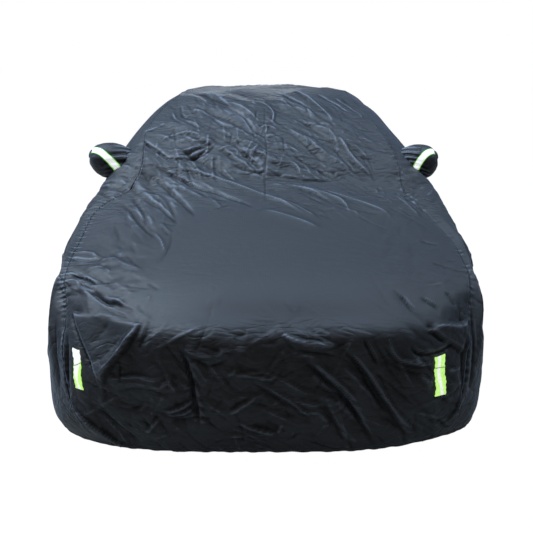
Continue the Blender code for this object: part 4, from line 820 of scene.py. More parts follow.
def clothHeight(points, normals, small):
    # how far the cloth stands off its plain form
    p = points.reshape(-1, 3)
    n = normals.reshape(-1, 3)
    views = {
        "above": (p[:, (0, 1)], between(n[:, 2], facingAbove)),
        "front": (p[:, (0, 2)], between(-n[:, 1], facingFront)),
        "back": (p[:, (0, 2)], between(n[:, 1], facingFront)),
    }
    height = np.zeros(len(p))
    for view, folds in (("above", foldsAbove), ("front", foldsFront)):
        flat, share = views[view]
        for size, halfWidth, path in folds:
            line = smoothLine(path)
            addRidge(height, flat, share, line, size * foldShape["soft"], halfWidth, ends=foldShape["ends"])
            addRidge(height, flat, share, line, size * foldShape["crisp"],
                     halfWidth * foldShape["crispWidth"], foldShape["lean"], True)
    faces = {side: between(side * n[:, 0], facingSide) for side in (-1, 1)}
    beside = p[:, (1, 2)]
    for side in (-1, 1):
        for size, halfWidth, path in foldsSide:
            addRidge(height, beside, faces[side], smoothLine(path), size * sideShare[side],
                     halfWidth, ends=foldShape["ends"])
    onBonnet = between(p[:, 1], cover["tightStart"]) * (1 - between(p[:, 1], cover["tightEnd"]))
    slack = 1.0 - (1.0 - cover["tightSlack"]) * onBonnet * views["above"][1]
    for size, length, direction, phase in waves:
        run = p @ np.array(direction) / np.linalg.norm(direction)
        height += slack * size * np.sin(2 * math.pi * run / length + phase)
    for view, rows in (("above", creasesAbove), ("front", creasesFront)):
        flat, share = views[view]
        for size, halfWidth, lean, path in rows:
            addRidge(height, flat, share, smoothLine(path), size * creaseScale[0] / 1000,
                     halfWidth * creaseScale[1] / 1000, lean or 0.3, True)
    for view, line, size, halfWidth, lean in small:
        if view == "side":
            side = -1 if int(line[0, 0] * 1000) % 2 else 1
            addRidge(height, beside, faces[side], line, size / 1000, halfWidth / 1000, lean, True)
        else:
            flat, share = views[view]
            addRidge(height, flat, share, line, size / 1000, halfWidth / 1000, lean, True)
    for seed, row in enumerate(crumples):
        if row[0] in views:
            flat, share = views[row[0]]
        else:
            flat, share = beside, faces[-1 if row[0] == "left" else 1]
        addCrumple(height, flat, share, row[1:], seed)
    addFacets(height, p, n)
    return height.reshape(points.shape[:-1]), slack.reshape(points.shape[:-1])


def pointDistance(points, line):
    # distance from every point to a line of points, and how far along it the nearest place is
    count = len(line)
    low = [Vector(p) for p in line]
    tree = BVHTree.FromPolygons(low + [p + Vector((0, 0, 1e-6)) for p in low],
                                [(i, i + 1, i + 1 + count, i + count) for i in range(count - 1)])
    runs = runLengths(line)
    flat = points.reshape(-1, 3)
    distance = np.full(len(flat), 1.0)
    along = np.zeros(len(flat))
    for i, p in enumerate(flat):
        hit = tree.find_nearest(Vector(p), 0.16)
        if hit[0] is not None:
            distance[i] = hit[3]
            k = hit[2]
            along[i] = runs[k] + (hit[0] - Vector(line[k])).length
    return distance.reshape(points.shape[:-1]), along.reshape(points.shape[:-1])


def ripple(along, pitch, seed):
    # uneven gathers along a seam or hem, from -1 to 1
    draw = random.Random(seed)
    total = np.zeros_like(along)
    for k in range(5):
        wave = pitch * draw.uniform(0.6, 1.7)
        total += draw.uniform(0.4, 1.0) * np.sin(2 * math.pi * along / wave + draw.uniform(0, 6.3))
    return np.clip(total / 1.6, -1.4, 1.4)


def linked(name, data):
    made = bpy.data.objects.new(name, data)
    bpy.context.scene.collection.objects.link(made)
    return made


def trianglesOf(mesh):
    return sum(len(face.vertices) - 2 for face in mesh.polygons)


def quadsOf(index):
    return np.stack((index[:-1, :-1], index[:-1, 1:], index[1:, 1:], index[1:, :-1]), -1).reshape(-1, 4)


def metresOver(grid, axis):
    # distance along one axis of a grid of points, from its first row or column
    steps = np.cumsum(np.linalg.norm(np.diff(grid, axis=axis), axis=2), axis=axis)
    return np.insert(steps, 0, 0.0, axis=axis)


def bothSides(values, picks):
    # values of the outer side's points, then of the inner side's, which may be fewer
    tail = values.shape[2:]
    return np.concatenate((values.reshape(-1, *tail), values[picks].reshape(-1, *tail)))


def sheetObject(name, outer, inner, faces, attributes, place, picks=slice(None), flip=None):
    # links a sheet of two sides, with its attributes and a UV map in metres; the faces are turned
    # outward, or only flipped or left where flip says so
    vertices = np.concatenate((outer.reshape(-1, 3), inner.reshape(-1, 3))) - origin
    mesh = bpy.data.meshes.new(name)
    mesh.from_pydata([tuple(v) for v in vertices.tolist()], [], faces)
    if flip is None:
        cleanUp = bmesh.new()
        cleanUp.from_mesh(mesh)
        bmesh.ops.recalc_face_normals(cleanUp, faces=cleanUp.faces)
        cleanUp.to_mesh(mesh)
        cleanUp.free()
    elif flip:
        mesh.flip_normals()
    mesh.shade_smooth()
    for label, values in attributes.items():
        layer = mesh.attributes.new(label, "FLOAT", "POINT")
        layer.data.foreach_set("value", bothSides(values, picks).astype(np.float32))
    corners = np.empty(len(mesh.loops), dtype=np.int32)
    mesh.loops.foreach_get("vertex_index", corners)
    layer = mesh.uv_layers.new(name="clothMetres")
    layer.data.foreach_set("uv", bothSides(place, picks)[corners].ravel().astype(np.float32))
    return linked(name, mesh)


def closeSheet(name, base, normals, height, attributes):
    # A thin closed sheet. Its outer side has every point of the grid. Its inner side, which only
    # shows from below, has one in every innerStep and keeps under the deepest trough around it.
    rows, columns = base.shape[:2]
    coarse = cover["innerStep"]
    outer = base + normals * height[..., None]
    sunk = height.copy()
    for axis in (0, 1):
        padded = np.pad(sunk, [(coarse, coarse) if a == axis else (0, 0) for a in (0, 1)], mode="edge")
        sunk = np.min([np.take(padded, range(k, k + sunk.shape[axis]), axis=axis)
                       for k in range(2 * coarse + 1)], axis=0)
    rowPicks = sorted(set(range(0, rows, coarse)) | {rows - 1})
    columnPicks = sorted(set(range(0, columns, coarse)) | {columns - 1})
    picks = np.ix_(rowPicks, columnPicks)
    inner = (base + normals * (sunk - cover["clothThickness"])[..., None])[picks]
    index = np.arange(rows * columns).reshape(rows, columns)
    innerIndex = rows * columns + np.arange(inner.shape[0] * inner.shape[1]).reshape(inner.shape[:2])
    faces = quadsOf(index).tolist() + quadsOf(innerIndex)[:, [0, 3, 2, 1]].tolist()
    # the rim fans from each inner point to the outer points beside it
    rims = (
        (index[0], columnPicks, innerIndex[0]),
        (index[:, -1], rowPicks, innerIndex[:, -1]),
        (index[-1][::-1], [columns - 1 - c for c in columnPicks][::-1], innerIndex[-1][::-1]),
        (index[:, 0][::-1], [rows - 1 - r for r in rowPicks][::-1], innerIndex[:, 0][::-1]),
    )
    for fine, stops, low in rims:
        for a, b, first, second in zip(stops[:-1], stops[1:], low[:-1], low[1:]):
            half = (a + b + 1) // 2
            for k in range(a, b):
                faces.append((int(fine[k + 1]), int(fine[k]), int(first if k < half else second)))
            faces.append((int(fine[half]), int(first), int(second)))
    facing = np.cross(outer[1, 0] - outer[0, 0], outer[0, 1] - outer[0, 0]) @ normals[0, 0]
    across = metresOver(base, 1)
    across -= across[:, columns // 2][:, None]
    place = np.stack((across, metresOver(base, 0)), -1)
    made = sheetObject(name, outer, inner, faces, attributes, place, picks, bool(facing > 0))
    made.data.validate()
    print("made", name, "with", trianglesOf(made.data), "triangles")
    return made, outer


def paintedCreaseLightOf(base, normals, height):
    # how sharply the cloth bends, which drives the painted highlight on crests and the painted shade in
    # troughs: towards 1 on a crest, towards -1 in a trough, 0 where it is flat
    bend = np.zeros(height.shape)
    for axis in (0, 1):
        steps = np.linalg.norm(np.diff(base, axis=axis), axis=2)
        slope = np.diff(height, axis=axis) / steps
        after = np.take(steps, range(1, steps.shape[axis]), axis)
        before = np.take(steps, range(steps.shape[axis] - 1), axis)
        within = (slice(1, -1), slice(None)) if axis == 0 else (slice(None), slice(1, -1))
        bend[within] += np.diff(slope, axis=axis) / ((after + before) / 2)
    # the painted crease light is weaker on the steep front face than on what lies flat, as light from above
    # would fall
    paintedLight = 1 - 0.45 * np.clip(-normals[..., 1], 0, 1)
    return paintedLight * np.tanh(-(0.20 * bend + 1.05 * blurRows(bend, 1)) / taffeta["sharpBend"])


def shellArea(outer):
    a, b = outer[1:, :-1] - outer[:-1, :-1], outer[:-1, 1:] - outer[:-1, :-1]
    c, d = outer[1:, :-1] - outer[1:, 1:], outer[:-1, 1:] - outer[1:, 1:]
    return (np.linalg.norm(np.cross(a, b), axis=2).sum()
            + np.linalg.norm(np.cross(c, d), axis=2).sum()) / 2


pockets = {
    # base, axis at the base and tip of the mirror pockets, in m
    "places": {
        -1: ((-0.856, 1.550, 1.078), (-0.78, -0.12, 0.61), (-0.996, 1.528, 1.128)),
        1: ((0.846, 1.550, 1.070), (0.76, -0.12, 0.64), (0.962, 1.528, 1.122)),
    },
    # share of the way to the tip, half height, half width
    "rings": ((0.00, 0.106, 0.098), (0.07, 0.107, 0.100), (0.20, 0.106, 0.103), (0.42, 0.099, 0.103),
              (0.64, 0.086, 0.098), (0.82, 0.068, 0.086), (0.94, 0.048, 0.066), (1.00, 0.024, 0.036)),
    "rows": 72,
    "columns": 168,
    "collar": 0.009,
    "settle": 0.45,
    "end": 0.010,
    "gatherHeight": 0.0046,
    "gathers": 10,
    "girth": 0.62,            # m round the pocket, for its weave
}
stripes = {"turn": (96.0, 42.0), "width": 0.045, "span": (0.0, 0.97), "lift": 0.0004, "thickness": 0.0008}
strips = {
    # middle of the upper and of the lower edge (x, z), width; where the silver band runs across
    # the strip from top to bottom, and its half width, as shares of the width
    -1: {"top": (-0.742, 0.590), "low": (-0.724, 0.454), "width": 0.034,
         "band": (0.00, 0.00, -0.10, -0.16, -0.10, 0.05), "half": (0.60, 0.55, 0.34, 0.26, 0.10, 0.20),
         "creases": ((0.30, 0.42, 1.4), (0.44, 0.30, -1.3), (0.62, 0.70, 0.8))},
    1: {"top": (0.662, 0.586), "low": (0.670, 0.436), "width": 0.044,
        "band": (-0.06, -0.08, -0.10, -0.06, 0.06, 0.20), "half": (0.15, 0.15, 0.16, 0.16, 0.14, 0.13),
        "creases": ((0.26, 0.30, -1.4), (0.46, 0.78, 1.0), (0.50, 0.90, 0.9))},
    "rows": 110,
    "columns": 30,
    "lift": 0.0005,
    "thickness": 0.0008,
}


def pocketRing(side, share, halfHeight, halfWidth, turns):
    # points of one ring, that share of the way out to the tip
    foot, axis, tip = (np.array(v) for v in pockets["places"][side])
    way = unit(tip - foot)
    axis = unit(unit(axis) * (1 - share) + way * share)
    up = unit(np.array((0.0, 0.0, 1.0)) - axis[2] * axis)
    front = np.cross(up, axis) * side
    if front[1] > 0:
        front = -front
    middle = foot + (tip - foot) * share
    return (middle + up * (halfHeight * np.cos(turns))[:, None]
            + front * (halfWidth * np.sin(turns))[:, None])


def pocketForm(side, panelTree):
    # rings from the seam allowance inside the side panel out to the tip, columns round the pocket
    turns = np.linspace(0, 2 * math.pi, pockets["columns"] + 1)[:-1]
    shares, highs, wides = zip(*pockets["rings"])
    foot, axis, tip = (np.array(v) for v in pockets["places"][side])
    axis, way = unit(axis), unit(tip - foot)
    first = pocketRing(side, 0.0, highs[0], wides[0], turns)
    drops = []
    for point in first:
        hit = panelTree.ray_cast(Vector(point + axis * 0.5 - origin), Vector(-axis))[0]
        drops.append(float((np.array(hit) + origin - point) @ axis))
    drops = np.array(drops)[:, None]
    rows, places = [], []
    for share in np.linspace(-0.06, 0.0, 4)[:-1]:
        rows.append(first + axis * (drops + pockets["collar"] * share / 0.06))
        places.append(share)
    body = 1 - (1 - np.linspace(0, 1, pockets["rows"])) ** 1.25
    for share in body:
        high, wide = tableCurve(shares, highs, share), tableCurve(shares, wides, share)
        ring = pocketRing(side, share, high, wide, turns)
        rows.append(ring + axis * drops * (1 - smoothStep(share / pockets["settle"])))
        places.append(share)
    for angle in np.linspace(0, math.pi / 2, 9)[1:]:
        shrunk = max(math.cos(angle), 0.02)
        ring = pocketRing(side, 1.0, highs[-1] * shrunk, wides[-1] * shrunk, turns)
        rows.append(ring + way * pockets["end"] * math.sin(angle))
        places.append(1.0)
    return np.array(rows), np.array(places), turns


def ringNormals(rows):
    around = np.roll(rows, -1, axis=1) - np.roll(rows, 1, axis=1)
    ways = unit(np.cross(around, np.gradient(rows, axis=0)))
    middle = rows.mean(axis=1, keepdims=True)
    return -ways if float((ways * (rows - middle)).sum()) < 0 else ways


def pocketHeight(side, places, turns, rows):
    draw = random.Random(40 + side)
    share = places[:, None] + 0 * turns[None, :]
    turn = turns[None, :] + 0 * places[:, None]
    # gathers that run from the seam towards the stripe, strongest on the upper side
    upper = 0.35 + 0.65 * (0.5 + 0.5 * np.cos(turn - 0.5)) ** 0.7
    pull = np.clip(1 - np.clip(share, 0, 1) / 0.62, 0, 1) ** 0.8
    drift = turn + 0.25 * np.sin(3.1 * share * 2 + 1.7)
    wave = np.zeros_like(share)
    for k in range(5):
        count = pockets["gathers"] + draw.choice((-4, -3, -1, 1, 2, 4, 6))
        size = draw.uniform(0.2, 1.0)
        wave += size * np.sin(count * drift + 1.4 * np.sin(drift + k) + draw.uniform(0, 6.3))
    height = pockets["gatherHeight"] * upper * pull * np.clip(wave, -1.5, 1.5) / 1.3
    # soft dents and short creases over the rest
    flat = rows.reshape(-1, 3)
    field = np.zeros(len(flat))
    for k in range(34):
        spot = flat[draw.randrange(len(flat))]
        heading = np.array([draw.gauss(0, 1) for axis in range(3)])
        line = np.array([spot - unit(heading) * 0.03, spot + unit(heading) * 0.03])
        run = unit(line[1] - line[0])
        t = np.clip((flat - line[0]) @ run, 0, 0.06)
        gap = np.linalg.norm(flat - line[0] - t[:, None] * run, axis=1)
        size = draw.choice((-1, 1)) * draw.uniform(0.0008, 0.0022)
        field += size * np.exp(-(gap / 0.0085) ** 1.7) * np.sin(t / 0.06 * math.pi)
    return height + field.reshape(height.shape) * (np.clip(share, 0, 1) < 0.999)


def ringSheet(name, outer, inner, attributes):
    # a thin cap, open at its base
    rows, columns = outer.shape[:2]
    count = rows * columns
    last = count - columns
    faces = []
    for r in range(rows - 1):
        for c in range(columns):
            a, b = r * columns + c, r * columns + (c + 1) % columns
            faces.append((a, b, b + columns, a + columns))
            faces.append((count + a + columns, count + b + columns, count + b, count + a))
    for c in range(columns):
        d = (c + 1) % columns
        faces.append((d, c, count + c, count + d))
    faces.append(tuple(last + c for c in range(columns)))
    faces.append(tuple(count + last + c for c in reversed(range(columns))))
    around = np.linspace(0, 1, columns)[None, :] * pockets["girth"] + np.zeros((rows, 1))
    place = np.stack((around, metresOver(outer, 0)), -1)
    made = sheetObject(name, outer, inner, faces, attributes, place)
    print("made", name, "with", trianglesOf(made.data), "triangles")
    return made


def tapeSheet(name, outer, lift, thickness, attributes):
    # a flat closed strip of tape; outer is its outer side, lift the way out of the cloth
    rows, columns = outer.shape[:2]
    count = rows * columns
    index = np.arange(count).reshape(rows, columns)
    quads = quadsOf(index)
    faces = quads.tolist() + (quads[:, ::-1] + count).tolist()
    ring = [*index[0], *index[1:, -1], *index[-1, :-1][::-1], *index[1:-1, 0][::-1]]
    for a, b in zip(ring, ring[1:] + ring[:1]):
        faces.append((int(b), int(a), int(a) + count, int(b) + count))
    across = metresOver(outer, 1)
    across -= across[:, -1:] / 2
    place = np.stack((across, metresOver(outer, 0)), -1)
    made = sheetObject(name, outer, outer - lift * thickness, faces, attributes, place)
    made.data.set_sharp_from_angle(angle=math.radians(50))
    return made


def blurRows(values, times):
    for step in range(times):
        padded = np.pad(values, 1, mode="edge")
        values = (padded[:-2, 1:-1] + padded[2:, 1:-1] + padded[1:-1, :-2] + padded[1:-1, 2:]
                  + 2 * padded[1:-1, 1:-1]) / 6
    return values


def frontStrip(name, side, tree):
    # a strip laid on the front of the centre panel, found by rays from in front
    facts = strips[side]
    rows, columns = strips["rows"], strips["columns"]
    down = np.linspace(0, 1, rows)[:, None] + np.zeros((1, columns))
    over = np.linspace(-0.5, 0.5, columns)[None, :] + np.zeros((rows, 1))
    edge = 1 + 0.05 * np.sin(down * 21 + side) + 0.04 * np.sin(down * 47 + 2 * over)
    x = facts["top"][0] + (facts["low"][0] - facts["top"][0]) * down + over * facts["width"] * edge
    z = facts["top"][1] + (facts["low"][1] - facts["top"][1]) * down
    x += 0.0022 * np.sin(down * 9 + 1.3 * side)
    y = np.empty((rows, columns))
    for r in range(rows):
        for c in range(columns):
            start = np.array((x[r, c], -3.0, z[r, c])) - origin
            y[r, c] = tree.ray_cast(Vector(start), Vector((0.0, 1.0, 0.0)))[0][1] + origin[1]
    # the tape is stiffer than the cloth, so it spans the small hollows
    top = y.copy()
    for step in range(4):
        padded = np.pad(top, 1, mode="edge")
        top = np.min([padded[a:a + rows, b:b + columns] for a in range(3) for b in range(3)], axis=0)
    top = blurRows(top, 8)
    raised = np.zeros_like(y)
    dark = np.zeros_like(y)
    for start, end, size in facts["creases"]:
        line = start + (end - start) * (over + 0.5)
        gap = (down - line) * abs(facts["top"][1] - facts["low"][1])
        raised += size / 1000 * np.exp(-(gap / 0.0035) ** 2)
        # painted shade: the tape is darkened along its trough creases
        if size < 0:
            dark = np.maximum(dark, np.exp(-(gap / 0.0016) ** 2))
    raised += 0.0005 * np.sin(down * 60 + 5 * over) * np.sin(over * 9 + down * 12)
    front = np.minimum(top, y) - strips["lift"] - strips["thickness"] - np.maximum(raised + 0.0012, 0)
    outer = np.stack((x, front, z), -1)
    band = np.interp(down, np.linspace(0, 1, 6), facts["band"])
    half = np.interp(down, np.linspace(0, 1, 6), facts["half"])
    bead = np.clip((half - np.abs(over - band)) * 12 + 0.5, 0, 1)
    lift = np.zeros_like(outer) + np.array((0.0, -1.0, 0.0))
    return tapeSheet(name, outer, lift, strips["thickness"], {"bead": bead, "paintedCreaseShade": dark})


def pocketStripe(name, rows, places, turns, ways):
    # along the pocket on its own lines, from the seam to near the tip
    half = stripes["width"] / 2
    first, last = stripes["span"]
    picks = [i for i in range(len(places)) if first <= places[i] <= last and i >= 3]
    columns = 19
    outer = []
    for i in picks:
        share = places[i]
        centre = math.radians(stripes["turn"][0] + (stripes["turn"][1] - stripes["turn"][0]) * share)
        ring, out = rows[i], ways[i]
        radius = np.linalg.norm(ring - np.roll(ring, 1, axis=0), axis=1).sum() / (2 * math.pi)
        spots = (centre + np.linspace(-half, half, columns) / radius) / (2 * math.pi) * len(turns)
        low = np.floor(spots).astype(int)
        t = (spots - low)[:, None]
        low, high = low % len(turns), (low + 1) % len(turns)
        on = ring[low] * (1 - t) + ring[high] * t
        way = unit(out[low] * (1 - t) + out[high] * t)
        outer.append(np.concatenate((on + way * (stripes["lift"] + stripes["thickness"]), way), axis=1))
    outer = np.array(outer)
    place, lift = outer[..., :3], unit(outer[..., 3:])
    return tapeSheet(name, place, lift, stripes["thickness"], {"bead": np.ones(place.shape[:2])})


# materials

def linear(code):
    out = []
    for k in (1, 3, 5):
        value = int(code[k:k + 2], 16) / 255
        out.append(value / 12.92 if value <= 0.04045 else ((value + 0.055) / 1.055) ** 2.4)
    return (*out, 1.0)


def addNode(tree, kind, settings=None, **links):
    node = tree.nodes.new(kind)
    for key, value in (settings or {}).items():
        if key in node.inputs:
            node.inputs[key].default_value = value
        else:
            setattr(node, key, value)
    for key, source in links.items():
        name = key.replace("_", " ")
        target = node.inputs[int(name[1:])] if name[0] == "i" and name[1:].isdigit() else node.inputs[name]
        tree.links.new(source, target)
    return node


def startMaterial(name):
    material = bpy.data.materials.new(name)
    material.use_nodes = True
    tree = material.node_tree
    tree.nodes.clear()
    shader = addNode(tree, "ShaderNodeBsdfPrincipled")
    addNode(tree, "ShaderNodeOutputMaterial", None, Surface=shader.outputs["BSDF"])
    return material, tree, shader


def addAttribute(tree, name):
    return addNode(tree, "ShaderNodeAttribute", {"attribute_name": name}).outputs["Fac"]


def addNoise(tree, place, scale, detail, roughness=0.5):
    return addNode(tree, "ShaderNodeTexNoise", {"Scale": scale, "Detail": detail, "Roughness": roughness},
                   Vector=place).outputs["Fac"]


def addRamp(tree, value, low, high, start=0.0, end=1.0, kind="LINEAR"):
    return addNode(tree, "ShaderNodeMapRange",
                   {"interpolation_type": kind, "From Min": low, "From Max": high, "To Min": start,
                    "To Max": end}, Value=value).outputs["Result"]


def addMath(tree, operation, *values):
    # a math node; each value is a number or a socket
    node = addNode(tree, "ShaderNodeMath", {"operation": operation})
    for k, value in enumerate(values):
        if isinstance(value, float):
            node.inputs[k].default_value = value
        else:
            tree.links.new(value, node.inputs[k])
    return node.outputs["Value"]


def addMix(tree, share, first, second):
    # a colour mix; each colour is a hex code or a socket
    node = addNode(tree, "ShaderNodeMix", {"data_type": "RGBA"}, Factor=share)
    for k, colour in ((6, first), (7, second)):
        if isinstance(colour, str):
            node.inputs[k].default_value = linear(colour)
        else:
            tree.links.new(colour, node.inputs[k])
    return node.outputs[2]


def addBump(tree, height, strength, distance, normal=None):
    node = addNode(tree, "ShaderNodeBump", {"Strength": strength, "Distance": distance}, Height=height)
    if normal is not None:
        tree.links.new(normal, node.inputs["Normal"])
    return node.outputs["Normal"]


taffeta = {
    "dark": "#303134",
    "light": "#3a3b3f",
    "seamDark": "#101114",
    "roughness": 0.50,
    "sheenTint": "#b4c6de",
    "threadMm": 1.6,          # the real thread is 0.3 mm; drawn coarser so that it shows close up
    "paintedCreaseLight": "#868e9b",       # painted highlight on the crests of sharp creases
    # painted shade in the troughs of sharp creases
    "trough": "#060708",
    "sharpBend": 75.0,        # 1 / m, bend that counts as a sharp crease
}


def coatedTaffeta():
    # Coated polyester taffeta: a tight plain weave with a thin coat, so it is dark seen square on
    # and turns a soft blue grey where it is seen at a low angle, with crisp crinkles where slack.
    material, tree, shader = startMaterial("coatedTaffeta")
    place = addNode(tree, "ShaderNodeTexCoord").outputs["Object"]
    slack, seamGap, hemGap = (addAttribute(tree, name) for name in ("slack", "seamGap", "hemGap"))
    # colour: a little uneven, as where the coat is rubbed, and darker in the seam
    blotch = addNoise(tree, place, 2.6, 5.0, 0.6)
    tone = addMix(tree, blotch, taffeta["dark"], taffeta["light"])
    sewn = addMix(tree, addRamp(tree, seamGap, 0.0012, 0.0030, 1.0, 0.0), tone, taffeta["seamDark"])
    # painted highlight and painted shade: the colour is made pale along the crests of sharp creases and
    # near black in their troughs
    paintedCreaseLight = addAttribute(tree, "paintedCreaseLight")
    paintedLight = addMix(tree, addRamp(tree, paintedCreaseLight, 0.22, 1.0), sewn, taffeta["paintedCreaseLight"])
    shaded = addMix(tree, addRamp(tree, paintedCreaseLight, -0.02, -0.42), paintedLight, taffeta["trough"])
    tree.links.new(shaded, shader.inputs["Base Color"])
    rough = addRamp(tree, blotch, 0.0, 1.0, taffeta["roughness"] - 0.05, taffeta["roughness"] + 0.07)
    tree.links.new(rough, shader.inputs["Roughness"])
    shader.inputs["IOR"].default_value = 1.46
    shader.inputs["Specular IOR Level"].default_value = 0.42
    shader.inputs["Sheen Weight"].default_value = 0.25
    shader.inputs["Sheen Roughness"].default_value = 0.42
    shader.inputs["Sheen Tint"].default_value = linear(taffeta["sheenTint"])
    # crinkles of 10 to 60 mm: ridges of bent noises, each drawn out its own way, the third in patches
    warp = addNode(tree, "ShaderNodeTexNoise", {"Scale": 5.0, "Detail": 3.0}, Vector=place)
    bent = addNode(tree, "ShaderNodeVectorMath", {"operation": "MULTIPLY_ADD"},
                   i0=warp.outputs["Color"], i2=place)
    bent.inputs[1].default_value = (0.10, 0.10, 0.10)
    ridges = []
    for turn, stretch, scale in (((0.2, 0.1, 0.72), (0.30, 1.0, 0.7), 20.0),
                                 ((0.1, -0.3, 1.0), (0.34, 1.0, 0.8), 31.0),
                                 ((-0.2, 0.3, -0.5), (0.5, 1.0, 0.9), 24.0)):
        drawn = addNode(tree, "ShaderNodeMapping", {"Rotation": turn, "Scale": stretch},
                        Vector=bent.outputs["Vector"])
        noise = addNoise(tree, drawn.outputs["Vector"], scale, 1.0, 0.4)
        folded = addMath(tree, "ABSOLUTE", addMath(tree, "SUBTRACT", noise, 0.5))
        ridges.append(addRamp(tree, folded, 0.004, 0.13))
    where = addRamp(tree, addNoise(tree, place, 3.1, 2.0), 0.40, 0.62, kind="SMOOTHSTEP")
    first = addMath(tree, "ADD", ridges[0], ridges[1])
    both = addMath(tree, "MULTIPLY_ADD", ridges[2], where, first)
    crinkle = addBump(tree, addMath(tree, "MULTIPLY", both, slack), 0.50, 0.0030)
    # the felled seam is a raised band with a groove, the casing of the elastic ends in a stitch line
    band = addRamp(tree, seamGap, 0.0090, 0.0120, 1.0, 0.0, "SMOOTHSTEP")
    groove = addRamp(tree, seamGap, 0.0010, 0.0035, kind="SMOOTHSTEP")
    fromCasing = addMath(tree, "ABSOLUTE", addMath(tree, "SUBTRACT", hemGap, hem["casing"]))
    casing = addRamp(tree, fromCasing, 0.0, 0.0030, kind="SMOOTHSTEP")
    sewing = addMath(tree, "ADD", addMath(tree, "MULTIPLY", band, groove), casing)
    seamBump = addBump(tree, sewing, 0.8, 0.0014, crinkle)
    # the weave
    uv = addNode(tree, "ShaderNodeUVMap", {"uv_map": "clothMetres"}).outputs["UV"]
    thread = 1000 / taffeta["threadMm"]
    ways = [addNode(tree, "ShaderNodeTexWave", {"bands_direction": way, "Scale": thread / 20},
                    Vector=uv).outputs["Fac"] for way in ("X", "Y")]
    weaveBump = addBump(tree, addMath(tree, "ADD", *ways), 0.12, 0.0003, seamBump)
    tree.links.new(weaveBump, shader.inputs["Normal"])
    return material


def reflectiveTape():
    # Warning tape: fluorescent yellow green plastic with a silver glass-bead band along it
    material, tree, shader = startMaterial("fluorescentTape")
    uv = addNode(tree, "ShaderNodeUVMap", {"uv_map": "clothMetres"}).outputs["UV"]
    bead, paintedCreaseShade = addAttribute(tree, "bead"), addAttribute(tree, "paintedCreaseShade")
    cloud = addNoise(tree, uv, 90.0, 4.0)
    lime = addMix(tree, cloud, "#86d83a", "#dcf5a0")
    silver = addMix(tree, cloud, "#c3cbc6", "#f6f7ee")
    # painted shade: dark green along the tape's trough creases
    withCreaseShade = addMix(tree, paintedCreaseShade, addMix(tree, bead, lime, silver), "#35551f")
    tree.links.new(withCreaseShade, shader.inputs["Base Color"])
    tree.links.new(withCreaseShade, shader.inputs["Emission Color"])
    shader.inputs["Emission Strength"].default_value = 0.98     # painted glow, standing in for the light that the dye and beads throw back
    shader.inputs["Roughness"].default_value = 0.34
    shader.inputs["Coat Weight"].default_value = 0.3
    shader.inputs["Coat Roughness"].default_value = 0.2
    wrinkle = addBump(tree, addNoise(tree, uv, 75.0, 3.0), 0.5, 0.0012)
    tree.links.new(wrinkle, shader.inputs["Normal"])
    return material


def stripeTape():
    # Silver-white glass-bead tape with a thin green edge, which throws back nearly all its light; that
    # light is painted on as a glow
    material, tree, shader = startMaterial("beadTape")
    uv = addNode(tree, "ShaderNodeUVMap", {"uv_map": "clothMetres"}).outputs["UV"]
    parts = addNode(tree, "ShaderNodeSeparateXYZ", None, Vector=uv)
    edge = addRamp(tree, addMath(tree, "ABSOLUTE", parts.outputs["X"]), 0.0165, 0.0190)
    colour = addMix(tree, edge, "#f4f7f4", "#7fc24a")
    tree.links.new(colour, shader.inputs["Base Color"])
    tree.links.new(colour, shader.inputs["Emission Color"])
    # painted glow: the tape emits its own colour, standing in for the light its beads throw back
    shader.inputs["Emission Strength"].default_value = 0.66
    shader.inputs["Roughness"].default_value = 0.36
    tree.links.new(addBump(tree, addNoise(tree, uv, 240.0, 2.0), 0.25, 0.0006), shader.inputs["Normal"])
    return material


def sewingThread():
    # Spun polyester thread, a shade lighter than the cloth, with a soft shine
    material, tree, shader = startMaterial("spunThread")
    place = addNode(tree, "ShaderNodeTexCoord").outputs["Object"]
    tone = addMix(tree, addNoise(tree, place, 900.0, 2.0), "#20242c", "#343a45")
    tree.links.new(tone, shader.inputs["Base Color"])
    shader.inputs["Roughness"].default_value = 0.5
    shader.inputs["Sheen Weight"].default_value = 0.3
    return material


print("frame loaded:", len(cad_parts), "nodes")
clothMaterial = coatedTaffeta()
stripMaterial = reflectiveTape()
stripeMaterial = stripeTape()
threadMaterial = sewingThread()

plainSteps = [1] * stationRow("rearHem")
plainCentre = centreGrid(plainSteps, cover["columns"])
fineSteps = rowSteps()
base = {0: centreGrid(fineSteps, cover["columns"] * cover["columnSteps"])}
frontRow, rearRow = stationRow("bonnetEdge"), stationRow("bootEdge")
for side in (-1, 1):
    plain = sideGrid(side, plainCentre)
    along = refine(plain, fineSteps[frontRow:rearRow])
    downSteps = [cover["sideRowSteps"]] * (plain.shape[1] - 1)
    base[side] = refine(along.transpose(1, 0, 2), downSteps).transpose(1, 0, 2)
print("plain form ready")


def seamRuns(side):
    # the place on the centre panel's edge, as a row of its finer mesh, of each edge point of a side
    # panel: down the front, along the top and down the rear
    starts = np.concatenate(([0], np.cumsum(fineSteps)))
    rows = base[side].shape[1]
    downFront = np.interp(np.linspace(frontRow, 0, rows), range(len(starts)), starts)
    top = np.arange(starts[frontRow], starts[rearRow] + 1, dtype=float)
    downRear = np.interp(np.linspace(rearRow, len(starts) - 1, rows), range(len(starts)), starts)
    return downFront, top, downRear


def onEdge(values, runs):
    low = np.clip(np.floor(runs).astype(int), 0, len(values) - 2)
    t = (runs - low)[:, None]
    return values[low] * (1 - t) + values[low + 1] * t


def drawTo(grid, targets, reach):
    # moves the three sewn edges of a side panel's grid onto their targets and fades the shift inward
    front, top, rear = targets
    for k, line in ((0, front), (-1, rear)):
        shift = line - grid[k]
        for step in range(reach):
            fade = 1 - smoothStep(step / reach)
            row = step if k == 0 else -1 - step
            grid[row] += shift * fade
    shift = top - grid[:, 0]
    for step in range(reach):
        grid[:, step] += shift * (1 - smoothStep(step / reach))
    return grid


for side in (-1, 1):
    edge = base[0][:, 0] if side < 0 else base[0][:, -1]
    base[side] = drawTo(base[side], [onEdge(edge, runs) for runs in seamRuns(side)], 8)

